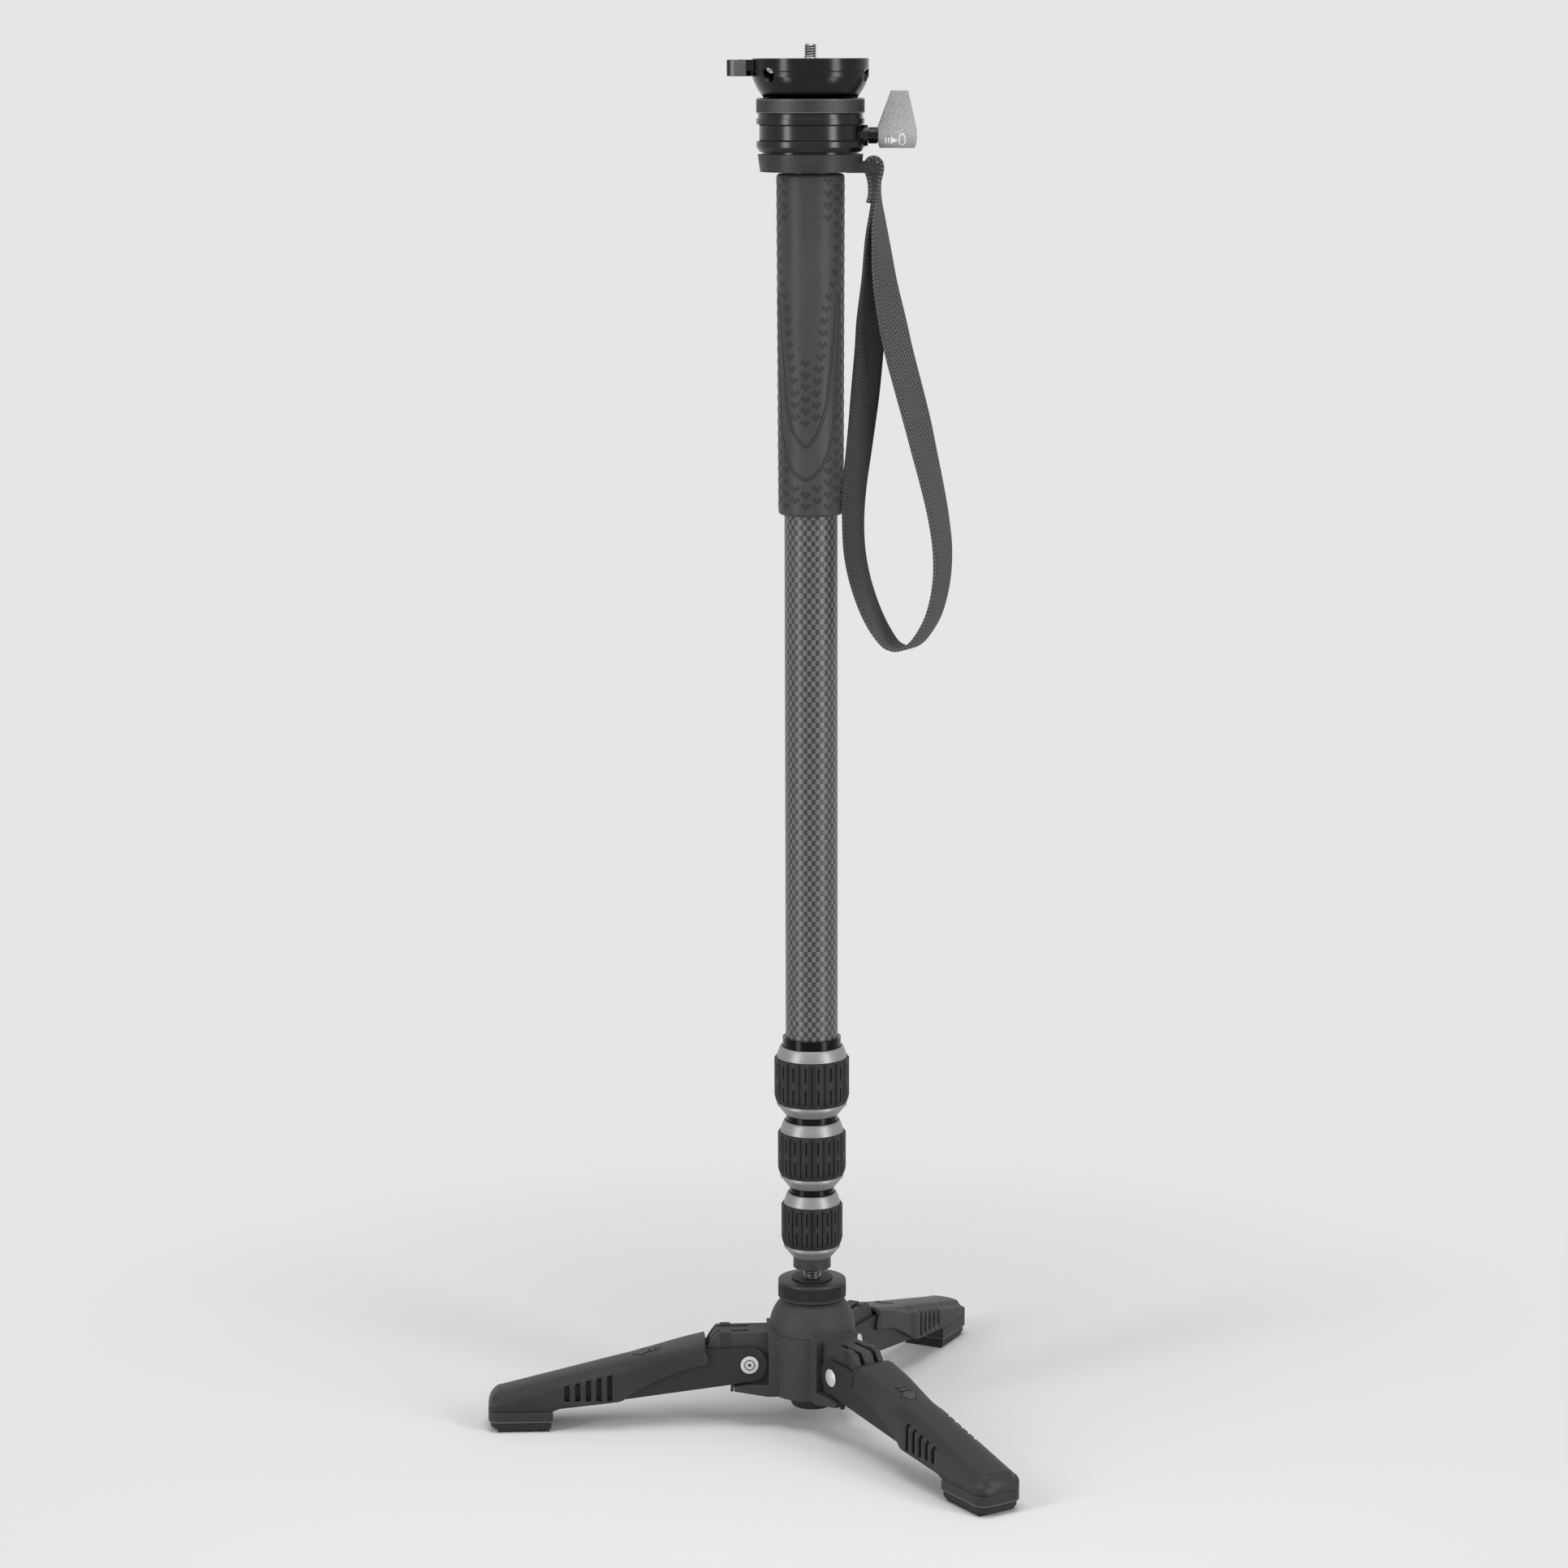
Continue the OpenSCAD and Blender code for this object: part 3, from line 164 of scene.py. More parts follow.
def relief(tree, shader, height, depth, edge):
    """Bump of a depth in millimetres over softly rounded edges."""
    rounded = node(tree, "ShaderNodeBevel", {"Radius": edge * MM}, samples=4).outputs[0]
    values = {"Height": height, "Distance": depth * MM, "Strength": 1.0, "Normal": rounded}
    tree.links.new(node(tree, "ShaderNodeBump", values).outputs[0], shader.inputs["Normal"])
    return rounded


EDGE_FLAT, EDGE_ROUND = 0.98, 0.8


def edge_mask(tree, rounded):
    """1 where an edge is rounded and 0 on flat faces."""
    flat = node(tree, "ShaderNodeNewGeometry").outputs["Normal"]
    same = node(tree, "ShaderNodeVectorMath", {0: rounded, 1: flat}, operation="DOT_PRODUCT")
    values = {0: same.outputs["Value"], 1: EDGE_FLAT, 2: EDGE_ROUND}
    return node(tree, "ShaderNodeMapRange", values).outputs[0]


# How dark the painted shade in the deepest hollows is, as a share of the tone
RECESS_SHADE_SHARE = 0.15


def painted_recess_shade(tree, base, level, shade_depth):
    """Paints shade into a tone: darker where the surface lies below its crests."""
    depth = node(tree, "ShaderNodeAttribute", attribute_name="depth").outputs["Fac"]
    recess_shade = node(tree, "ShaderNodeMapRange", {0: depth, 1: 0.0, 2: shade_depth}).outputs[0]
    return tint(tree, recess_shade, base, grey(level * RECESS_SHADE_SHARE))


CLOUD_SIZE = 30
ROUGH_SWING = 0.06


def moulded(name, level, roughness, grain=0.5, depth=0.02, swing=0.2, edge=0.3, edge_wear_and_highlight=0.5,
            metallic=0.0, specular=0.25, warm=0.0, shade_depth=0.0):
    """A surface with a fine grain, cloudy tone, uneven gloss, painted shade in its hollows where asked, and
    edges painted lighter as wear and as a painted highlight.
    """
    material, tree, shader = start(name, roughness, metallic, specular)
    vector, _ = place_mm(tree)
    fine = noise(tree, vector, grain)
    cloud = noise(tree, vector, CLOUD_SIZE * grain)
    rounded = relief(tree, shader, fine, depth, edge)
    both = calc(tree, "ADD", times(tree, fine, 0.7), times(tree, cloud, 0.3))
    spot = node(tree, "ShaderNodeMapRange", {0: both, 1: 0.34, 2: 0.66}).outputs[0]
    base = tint(tree, spot, grey(level * (1 - swing), warm), grey(level * (1 + swing), warm))
    # Painted shade in hollows, as deep as the depth attribute says
    if shade_depth:
        base = painted_recess_shade(tree, base, level, shade_depth)
    # Rounded edges are painted lighter: partly wear and partly a painted highlight.
    wear_and_highlight = times(tree, edge_mask(tree, rounded), times(tree, cloud, edge_wear_and_highlight))
    tree.links.new(tint(tree, wear_and_highlight, base, grey(min(1, level * 2.5 + 0.03), warm)),
                   shader.inputs["Base Color"])
    tree.links.new(between(tree, cloud, roughness - ROUGH_SWING, roughness + ROUGH_SWING),
                   shader.inputs["Roughness"])
    return material


LINE_STRETCH, LINE_FINENESS, LINE_DEPTH, LINE_EDGE = 0.03, 4, 0.012, 0.2


def brushed(name, level, roughness):
    """Metal turned on a lathe, with fine lines round the pole's axis and a painted highlight on its rounded
    edges.
    """
    material, tree, shader = start(name, roughness, metallic=0.5)
    vector, parts = place_mm(tree)
    across = node(tree, "ShaderNodeCombineXYZ", {0: times(tree, parts[0], LINE_STRETCH),
                                                 1: times(tree, parts[1], LINE_STRETCH),
                                                 2: times(tree, parts[2], LINE_FINENESS)})
    lines = noise(tree, across.outputs[0], 1.0, detail=4.0)
    rounded = relief(tree, shader, lines, LINE_DEPTH, LINE_EDGE)
    base = tint(tree, lines, grey(level * 0.75), grey(level * 1.25))
    # Rounded edges are painted lighter: a painted highlight.
    tree.links.new(tint(tree, edge_mask(tree, rounded), base, grey(min(1, level * 1.6))),
                   shader.inputs["Base Color"])
    tree.links.new(between(tree, lines, roughness - 0.08, roughness + 0.1),
                   shader.inputs["Roughness"])
    return material


WEAVE_COUNT = 38
WEAVE_PITCH = 2.75
WEAVE_DEPTH, WEAVE_EDGE = 0.16, 0.2
LIGHT_STRANDS, DARK_STRANDS = (0.085, 0.165), (0.012, 0.034)


def carbon(name):
    """Plain-woven carbon under a clear coat: warp and weft cells bulge in turn."""
    material, tree, shader = start(name, 0.4, specular=0.3)
    shader.inputs["Coat Weight"].default_value = 0.3
    shader.inputs["Coat Roughness"].default_value = 0.25
    vector, parts = place_mm(tree)
    angle = calc(tree, "ARCTAN2", parts[0], times(tree, parts[1], -1.0))
    around = times(tree, angle, WEAVE_COUNT / TURN)
    along = times(tree, parts[2], 1 / WEAVE_PITCH)
    cell = node(tree, "ShaderNodeCombineXYZ", {0: around, 1: along, 2: 0.5})
    checks = node(tree, "ShaderNodeTexChecker", {"Vector": cell.outputs[0], "Scale": 1.0,
                                                 "Color1": (1, 1, 1, 1), "Color2": (0, 0, 0, 1)})
    warp = checks.outputs["Fac"]
    swell_a = calc(tree, "SINE", times(tree, calc(tree, "FRACT", around), pi))
    swell_z = calc(tree, "SINE", times(tree, calc(tree, "FRACT", along), pi))
    swell = node(tree, "ShaderNodeMix", {0: warp, 2: swell_a, 3: swell_z}, data_type="FLOAT")
    strands = noise(tree, vector, 0.4)
    relief(tree, shader, swell.outputs[0], WEAVE_DEPTH, WEAVE_EDGE)
    light = tint(tree, strands, *map(grey, LIGHT_STRANDS))
    dark = tint(tree, strands, *map(grey, DARK_STRANDS))
    tree.links.new(tint(tree, warp, dark, light), shader.inputs["Base Color"])
    tree.links.new(between(tree, strands, 0.36, 0.5), shader.inputs["Roughness"])
    return material


# Where the painted shade on the strap's band behind fades in along its length, and how dark it gets
BACK_BAND, BACK_PAINTED_SHADE = (310.0, 350.0), 0.55
ZIGZAG_HALF, ZIGZAG_SLOPE, RIB_PITCH, THREAD_PITCH = 5.4, 1.2, 2.1, 1.15
RIB_SHARE, THREAD_SHARE, WEBBING_DEPTH, WEBBING_EDGE = 0.36, 0.2, 0.4, 0.2


def webbing(name):
    """Herringbone webbing with painted shade on the band behind, drawn along the strap's own length and
    width.
    """
    material, tree, shader = start(name, 0.85, specular=0.25)
    shader.inputs["Sheen Weight"].default_value = 0.1
    uv = node(tree, "ShaderNodeTexCoord").outputs["UV"]
    parts = node(tree, "ShaderNodeSeparateXYZ", {0: uv}).outputs
    across = times(tree, parts[0], 1 / MM)
    along = times(tree, parts[1], 1 / MM)
    zigzag = calc(tree, "PINGPONG", across, ZIGZAG_HALF)
    slant = calc(tree, "ADD", along, times(tree, zigzag, ZIGZAG_SLOPE))
    ribs = calc(tree, "SINE", times(tree, slant, TURN / RIB_PITCH))
    threads = calc(tree, "SINE", times(tree, across, TURN / THREAD_PITCH))
    weave = calc(tree, "ADD", times(tree, ribs, RIB_SHARE),
                 times(tree, threads, THREAD_SHARE))
    height = calc(tree, "ADD", weave, 0.5)
    relief(tree, shader, height, WEBBING_DEPTH, WEBBING_EDGE)
    vector, _ = place_mm(tree)
    fuzz = noise(tree, vector, 1.0)
    # Painted shade: the band behind is darker.
    painted_back_shade = node(tree, "ShaderNodeMapRange", {0: along, 1: BACK_BAND[0], 2: BACK_BAND[1], 3: 1.0,
                                              4: BACK_PAINTED_SHADE}).outputs[0]
    tone = times(tree, times(tree, height, painted_back_shade), calc(tree, "ADD", fuzz, 0.5))
    tree.links.new(tint(tree, tone, grey(0.004), grey(0.15)), shader.inputs["Base Color"])
    tree.links.new(between(tree, fuzz, 0.75, 0.95), shader.inputs["Roughness"])
    return material


def level_glass(name):
    """Clear pale liquid under glass."""
    material, tree, shader = start(name, 0.06)
    shader.inputs["Transmission Weight"].default_value = 0.85
    shader.inputs["IOR"].default_value = 1.45
    vector, _ = place_mm(tree)
    cloud = noise(tree, vector, 3.0)
    tree.links.new(tint(tree, cloud, (0.62, 0.75, 0.35, 1), (0.8, 0.88, 0.5, 1)),
                   shader.inputs["Base Color"])
    return material


# Some of these finishes paint shade into their hollows, and all of them paint their rounded edges lighter,
# partly as wear and partly as a painted highlight.
MOULDED = {
    "black_metal": dict(level=0.026, roughness=0.2, depth=0.004, swing=0.12, edge_wear_and_highlight=0.35, metallic=1.0),
    "body_metal": dict(level=0.036, roughness=0.22, depth=0.004, swing=0.12, edge_wear_and_highlight=0.9, metallic=1.0),
    "gloss_metal": dict(level=0.012, roughness=0.22, depth=0.002, swing=0.1, edge_wear_and_highlight=0.3, metallic=1.0),
    "arm_metal": dict(level=0.024, roughness=0.5, grain=0.6, edge_wear_and_highlight=0.8),
    "collar_metal": dict(level=0.026, roughness=0.42, grain=1.1, depth=0.05, swing=0.5),
    "ring_metal": dict(level=0.14, roughness=0.38, depth=0.006, edge=0.1, metallic=0.9, shade_depth=0.22),
    "knob_metal": dict(level=0.04, roughness=0.4, depth=0.006, metallic=0.3, shade_depth=0.45),
    "lever_metal": dict(level=0.35, roughness=0.6, grain=0.8, depth=0.04, swing=0.25, edge=0.7, edge_wear_and_highlight=0.2),
    "steel": dict(level=0.42, roughness=0.3, grain=0.3, depth=0.006, swing=0.12, metallic=0.8, edge=0.15,
                  shade_depth=0.6),
    "bright_steel": dict(level=0.62, roughness=0.4, grain=0.4, depth=0.01, swing=0.15, metallic=0.3,
                         shade_depth=0.5),
    # A lighter copy of the black metal, for a painted highlight on the level's tab
    "tab_lit_metal": dict(level=0.13, roughness=0.45, depth=0.006, metallic=0.6, shade_depth=1.0),
    "brass": dict(level=0.42, roughness=0.35, grain=0.4, depth=0.01, metallic=1.0, warm=0.35),
    "soft_rubber": dict(level=0.024, roughness=0.5, grain=0.6, depth=0.03, specular=0.2, edge=0.4, edge_wear_and_highlight=0.9,
                        shade_depth=0.6),
    "grip_rubber": dict(level=0.054, roughness=0.42, grain=0.7, depth=0.03, specular=0.18, edge_wear_and_highlight=0.3,
                        shade_depth=0.3),
    "black_plastic": dict(level=0.034, roughness=0.48, grain=0.8, depth=0.05, swing=0.3, edge=0.5,
                          edge_wear_and_highlight=0.9),
    "leg_plastic": dict(level=0.03, roughness=0.44, grain=0.7, depth=0.03, swing=0.25, edge=0.7, edge_wear_and_highlight=2.0),
    "sole_rubber": dict(level=0.022, roughness=0.55, grain=0.7, depth=0.03, swing=0.25, edge=0.5, edge_wear_and_highlight=1.2),
    # A light tone for a painted highlight round the foot of the pad plate
    "pad_rim_highlight": dict(level=0.16, roughness=0.5, depth=0.01, edge=0.1),
    "leg_mark": dict(level=0.06, roughness=0.5, grain=0.6, edge_wear_and_highlight=1.2),
    "hub_plastic": dict(level=0.044, roughness=0.58, grain=0.7, depth=0.04, swing=0.22, edge=0.5, edge_wear_and_highlight=1.2),
    "slip_plastic": dict(level=0.7, roughness=0.5, grain=0.6, swing=0.08),
    "stitch": dict(level=0.1, roughness=0.8),
    "white_mark": dict(level=0.85, roughness=0.5, grain=0.3, depth=0.01, swing=0.06),
    # Near black, for lines of painted shade in seams and round the arrows
    "painted_shade_line": dict(level=0.004, roughness=0.7, grain=0.6, depth=0.01, specular=0.2),
}
FINISH = {name: moulded(name, **look) for name, look in MOULDED.items()}
FINISH["silver_metal"] = brushed("silver_metal", level=0.27, roughness=0.4)
FINISH["carbon"] = carbon("carbon")
FINISH["webbing"] = webbing("webbing")
FINISH["level_glass"] = level_glass("level_glass")


# Pieces
def piece(name, points, faces, node_name, slot, replaces=True, sharp=35, finish=None, uv=None,
          painted_shade=None, closed=True, rides=True):
    """A mesh in millimetres that moves with a CAD node and may stand for it."""
    mesh = bpy.data.meshes.new(name)
    mesh.from_pydata([Vector(p) * MM for p in points], [], faces)
    if uv:
        layer = mesh.uv_layers.new(name="strap")
        for loop in mesh.loops:
            layer.data[loop.index].uv = [c * MM for c in uv[loop.vertex_index]]
    # Amounts of painted shade per point, kept as the depth attribute
    if painted_shade:
        mesh.attributes.new("depth", "FLOAT", "POINT").data.foreach_set("value", painted_shade)
    shape = bmesh.new()
    shape.from_mesh(mesh)
    bmesh.ops.remove_doubles(shape, verts=shape.verts, dist=0.002 * MM)
    if closed:
        bmesh.ops.recalc_face_normals(shape, faces=shape.faces)
    shape.to_mesh(mesh)
    shape.free()
    mesh.polygons.foreach_set("use_smooth", [True] * len(mesh.polygons))
    mesh.set_sharp_from_angle(angle=radians(sharp))
    mesh.materials.append(FINISH[finish or slot])
    made = bpy.data.objects.new(name, mesh)
    bpy.context.scene.collection.objects.link(made)
    if rides:
        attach(made, NODES[node_name]["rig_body"])
    if replaces:
        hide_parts(node_name)
    return made


def bands(rows, columns, wrap_columns=True, wrap_rows=False):
    """Faces over a grid of points, row by row."""
    faces = []
    for i in range(rows if wrap_rows else rows - 1):
        for j in range(columns if wrap_columns else columns - 1):
            a = i * columns
            b = (i + 1) % rows * columns
            k = (j + 1) % columns
            faces.append((a + j, a + k, b + k, b + j))
    return faces


def loft(count, size):
    """Faces of a closed block through a count of outlines, each with the same number of points."""
    last = (count - 1) * size
    return bands(count, size) + [tuple(range(size)), tuple(range(last, last + size))]


def join(points, faces, more, sides):
    """Adds the points and faces of one more form to a piece."""
    first = len(points)
    points += more
    faces += [tuple(first + v for v in face) for face in sides]


def turned(profile, angles, wave=None):
    """A solid turned round the Z axis from a closed profile of (radius, height)."""
    points = []
    for r, z in profile:
        for a in angles:
            reach = wave(a, r, z) if wave else r
            points.append((reach * sin(a), -reach * cos(a), z))
    return points, bands(len(profile), len(angles), wrap_rows=True)


# Its results set the painted shade in the grooves of threads, knurls and sleeves.
def cut_depths(points, profile):
    """How far each point of a turned solid lies inside its profile."""
    columns = len(points) // len(profile)
    return [profile[i // columns][0] - hypot(p[0], p[1]) for i, p in enumerate(points)]


def even_angles(count):
    return [TURN * j / count for j in range(count)]


def spread(low, high, count):
    return [low + (high - low) * i / (count - 1) for i in range(count)]


def ease(low, high, x):
    t = min(1.0, max(0.0, (x - low) / (high - low)))
    return t * t * (3 - 2 * t)


def mix(a, b, t):
    return a + (b - a) * t


def saw(x):
    """1 at whole numbers and 0 halfway between them."""
    return abs(2 * (x - floor(x)) - 1)


# Wrist strap: the route's points and the turn of the webbing's face about the vertical
STRAP_WIDTH = 16
STRAP_THICK = 1.7
NECK_THICK = 2.5
NECK_RISE = (648, 660)
STRAP_EDGE = 0.4
STRAP = [
    (30, 0, 650.6, 6), (31, 0, 653.6, 5), (31.3, 0, 657, 4), (30.8, 0, 661.5, 2),
    (29.4, 0, 666, 0), (28.9, 0, 669.5, 0), (30, 0, 672.3, 0), (32.8, 0, 673.4, 0),
    (35.6, 0, 672.3, 0), (36.7, 0, 669.5, 0), (36.4, 0, 666, 0), (35.5, 0, 661.5, 2),
    (35.1, 0, 657, 4), (35.1, 0, 652, 9), (35.3, -0.4, 646, 17), (35.5, -0.8, 640, 25),
    (36.4, -2, 630, 34), (38.5, -4, 610, 52), (42.5, -7, 589, 67),
    (45.5, -9, 575, 70), (50.5, -12, 556, 68), (55, -15, 539, 64), (59, -18, 522, 56),
    (63, -20, 505, 48), (66.4, -21, 488, 42), (68.4, -21, 471, 38), (67.8, -20, 454, 34),
    (64, -17, 437, 32), (57, -13, 424, 30), (51, -10, 419, 30), (45.5, -7.5, 418.5, 32),
    (40, -5.5, 422.5, 36), (32.5, -4.5, 435, 41), (26.3, -4, 452, 43), (22.9, -4, 469, 44),
    (22.1, -4, 486, 45), (22.7, -4, 503, 52), (24.8, -3, 520, 56), (26.8, -2, 537, 62),
    (28.6, -1, 554, 70), (30.5, 0, 575, 71), (31.3, 0, 589, 70), (33, 0, 610, 56),
    (33.4, 0, 630, 40), (33.3, 0.2, 641, 24), (33.2, 0, 650, 11), (33.2, 0, 656.5, 4)]
STRAP_STEPS = 5


def smooth_route(stops, steps):
    """A curve through all the stops, with even steps between each two."""
    out = []
    last = len(stops) - 1
    for i in range(last):
        p0, p1, p2, p3 = (Vector(stops[min(max(i + k, 0), last)]) for k in (-1, 0, 1, 2))
        for s in range(steps):
            t = s / steps
            out.append(0.5 * (2 * p1 + (p2 - p0) * t + (2 * p0 - 5 * p1 + 4 * p2 - p3) * t * t
                              + (3 * p1 - p0 - 3 * p2 + p3) * t ** 3))
    out.append(Vector(stops[last]))
    return out


def strap_section(thickness):
    half = STRAP_WIDTH / 2
    thick = thickness / 2
    top = [(-half, 0.4 * thick), (-half + STRAP_EDGE, thick)]
    top += [(half * s, thick) for s in (-0.6, -0.2, 0.2, 0.6)]
    top += [(half - STRAP_EDGE, thick), (half, 0.4 * thick)]
    return top + [(a, -b) for a, b in reversed(top)]


def make_strap():
    route = smooth_route(STRAP, STRAP_STEPS)
    points = []
    uv = []
    run = 0.0
    for i, here in enumerate(route):
        before = route[max(i - 1, 0)]
        after = route[min(i + 1, len(route) - 1)]
        way = (after - before).to_3d().normalized()
        turn = radians(here[3])
        flat = Vector((sin(turn), cos(turn), 0))
        wide = (flat - flat.dot(way) * way).normalized()
        out = way.cross(wide)
        if i:
            run += (here - before).to_3d().length
        section = strap_section(mix(STRAP_THICK, NECK_THICK, ease(*NECK_RISE, here[2])))
        for a, b in section:
            points.append(here.to_3d() + wide * a + out * b)
            uv.append((a, run))
    faces = loft(len(route), len(section))
    strap = piece("wrist_strap", points, faces, "strap", "webbing", sharp=60, uv=uv)


# The sewn neck between the strap's layers, as (height, left, right) rows
NECK = [(651, 31.2, 35.2), (653.5, 31, 35.1), (657, 31.3, 35.1), (661.5, 30.8, 35.5), (665, 29.7, 36.2),
        (667, 29.4, 36.4)]
NECK_HALF = 7.8
STITCH_ROWS, STITCH_COLUMNS = (653, 655.5, 658, 660.5), (31.6, 33.2, 34.8)
STITCH = ((-0.6, -0.5), (-0.3, -0.8), (0.6, 0.5), (0.3, 0.8))
STITCH_FACES = (NECK_HALF - 0.1, STRAP_WIDTH / 2 + 0.12)


def make_neck():
    points = []
    uv = []
    for z, left, right in NECK:
        for x, y in ((left, -NECK_HALF), (right, -NECK_HALF), (right, NECK_HALF), (left, NECK_HALF)):
            points.append((x, y, z))
            uv.append((x + y, z))
    piece("strap_neck", points, loft(len(NECK), 4), "strap", "webbing", replaces=False, sharp=60, uv=uv)


def make_stitches():
    """Short light threads across the sewn neck, front and back."""
    points, faces = [], []
    for z in STITCH_ROWS:
        for side in (-1, 1):
            for x in STITCH_COLUMNS:
                thread = [(x + across, side * y, z + up) for y in STITCH_FACES for across, up in STITCH]
                join(points, faces, thread, loft(2, len(STITCH)))
    piece("strap_stitches", points, faces, "strap", "webbing", replaces=False, finish="stitch")


make_strap()
make_neck()
make_stitches()


# Threads and knurls
def thread_wave(low, high, pitch, depth):
    def wave(a, r, z):
        share = ease(low, low + pitch, z) * (1 - ease(high - pitch / 2, high, z))
        return r - depth * share * saw(z / pitch - a / TURN)
    return wave


SCREW_R, SCREW_PITCH, SCREW_CUT = 3.175, 1.27, 0.62


def make_camera_screw():
    top, tip = 724.4, 731.8
    rows = [(SCREW_R, z) for z in spread(top + 0.02, tip - 0.5, 46)]
    profile = [(0, 715.8), (8, 715.8), (8, 717.8), (4.5, 717.8), (4.5, top)] + rows
    profile += [(2.6, tip), (0, tip)]
    points, faces = turned(profile, even_angles(48), thread_wave(top, tip, SCREW_PITCH, SCREW_CUT))
    piece("camera_screw_thread", points, faces, "camera_screw", "steel", painted_shade=cut_depths(points, profile))


STUD_THREAD, STUD_PITCH, STUD_CUT = (70.5, 79), 1.5875, 0.8


def make_ball_stud():
    centre, ball_r, stud_r, top = 43.5, 15, 4.76, 89
    low = asin(stud_r / ball_r)
    ball = [(ball_r * sin(a), centre - ball_r * cos(a)) for a in spread(0, pi - low, 24)]
    rows = [(stud_r, z) for z in spread(*STUD_THREAD, 44)]
    profile = ball + [(stud_r, 69)] + rows + [(stud_r, top), (0, top)]
    points, faces = turned(profile, even_angles(56), thread_wave(*STUD_THREAD, STUD_PITCH, STUD_CUT))
    piece("ball_stud_thread", points, faces, "ball_stud", "steel", painted_shade=cut_depths(points, profile))


RING_DIAMONDS = 122
DIAMOND_HEIGHT, DIAMOND_CUT = 1.55, 0.25


def make_lock_ring():
    inner, outer, low, high = 26.3, 28.1, 696.4, 704.2

    def wave(a, r, z):
        if r < outer - 0.01:
            return r
        step = a * RING_DIAMONDS / TURN
        rise = z / DIAMOND_HEIGHT
        groove = max(saw(step + rise), saw(step - rise))
        share = groove * ease(low + 0.7, low + 1.0, z) * (1 - ease(high - 1.0, high - 0.7, z))
        return r - DIAMOND_CUT * share

    rows = [(outer, z) for z in spread(low + 0.6, high - 0.6, 27)]
    profile = [(inner, low), (outer - 0.6, low)] + rows + [(outer - 0.6, high), (inner, high)]
    points, faces = turned(profile, even_angles(RING_DIAMONDS * 6), wave)
    piece("knurled_ring", points, faces, "lock_ring", "ring_metal", sharp=50,
          painted_shade=cut_depths(points, profile))


KNOB_TEETH, TOOTH_CUT = 100, 0.5


def make_knob():
    bore, outer, low, high = 5.06, 18.45, 60.2, 71.2
    dome_z, hollow_r = 43.5, 23.8

    def wave(a, r, z):
        if r < outer - 0.01:
            return r
        share = ease(low + 1.9, low + 2.2, z) * (1 - ease(high - 2.0, high - 1.7, z))
        return r - TOOTH_CUT * share * saw(a * KNOB_TEETH / TURN)

    hollow = [(r, dome_z + sqrt(hollow_r ** 2 - r ** 2)) for r in spread(bore, 16.9, 10)]
    rows = [(outer, z) for z in spread(low + 1.6, high - 0.9, 20)]
    profile = hollow + rows + [(outer - 0.25, high - 0.25), (outer - 0.9, high), (bore, high)]
    points, faces = turned(profile, even_angles(KNOB_TEETH * 4), wave)
    piece("knurled_knob", points, faces, "knob", "ring_metal", sharp=50, finish="knob_metal",
          painted_shade=cut_depths(points, profile))


SLEEVE_UNITS = 18
SLEEVE_LIP = 1.2
PLAIN_CUT, GROOVE_CUT, SLOT_CUT = 0.22, 0.6, 0.8
SLEEVE_SIDES = (0, 0.08, 0.13, 0.18, 0.28, 0.34, 0.4, 0.6, 0.82, 0.87, 0.92)
NUT_FOOT, NUT_HEAD, NUT_FLOOR, NUT_RIM = 6.5, 7.2, 3.0, 4.85
# Each twist lock: height, tube's radius and the sleeve's length
LOCKS = {1: (163.9, 14.0, 24), 2: (123.6, 12.2, 23), 3: (84.3, 10.4, 22)}


def make_sleeve(i):
    lock_z, tube_r, tall = LOCKS[i]
    low = lock_z + NUT_FOOT
    tall += SLEEVE_LIP
    inner = tube_r + 3.9
    outer = tube_r + 6.15

    def wave(a, r, z):
        if r < inner + 0.2:
            return r
        x = a * SLEEVE_UNITS / TURN % 1
        side = abs(x - 0.5) * 2
        up = (z - low) / tall
        groove = ease(0.84, 0.9, side) * ease(0.03, 0.06, up) * (1 - ease(0.93, 0.96, up))
        slot = 1 - ease(0.1, 0.17, side)
        lower = ease(0.06, 0.1, up) * (1 - ease(0.39, 0.43, up))
        upper = ease(0.56, 0.6, up) * (1 - ease(0.865, 0.905, up))
        plain = PLAIN_CUT * ease(0.3, 0.38, side)
        return r - plain - GROOVE_CUT * groove - SLOT_CUT * slot * max(lower, upper)

    def reach(z):
        t = (z - low) / 4
        return mix(tube_r + NUT_RIM, outer, min(1, t) ** 0.7)

    rows = [(reach(z), z) for z in spread(low + 0.05, low + tall - 0.9, 48)]
    top = low + tall - 0.05
    profile = [(inner, low + 0.05)] + rows + [(outer - 0.25, top - 0.3), (outer - 0.8, top), (inner, top)]
    columns = sorted([0.0] + [0.5 + s / 2 for s in SLEEVE_SIDES] + [0.5 - s / 2 for s in SLEEVE_SIDES[1:]])
    angles = [TURN * (u + x) / SLEEVE_UNITS for u in range(SLEEVE_UNITS) for x in columns]
    points, faces = turned(profile, angles, wave)
    piece(f"ribbed_sleeve_{i}", points, faces, f"lock_sleeve_{i}", "soft_rubber", sharp=50,
          painted_shade=cut_depths(points, profile))


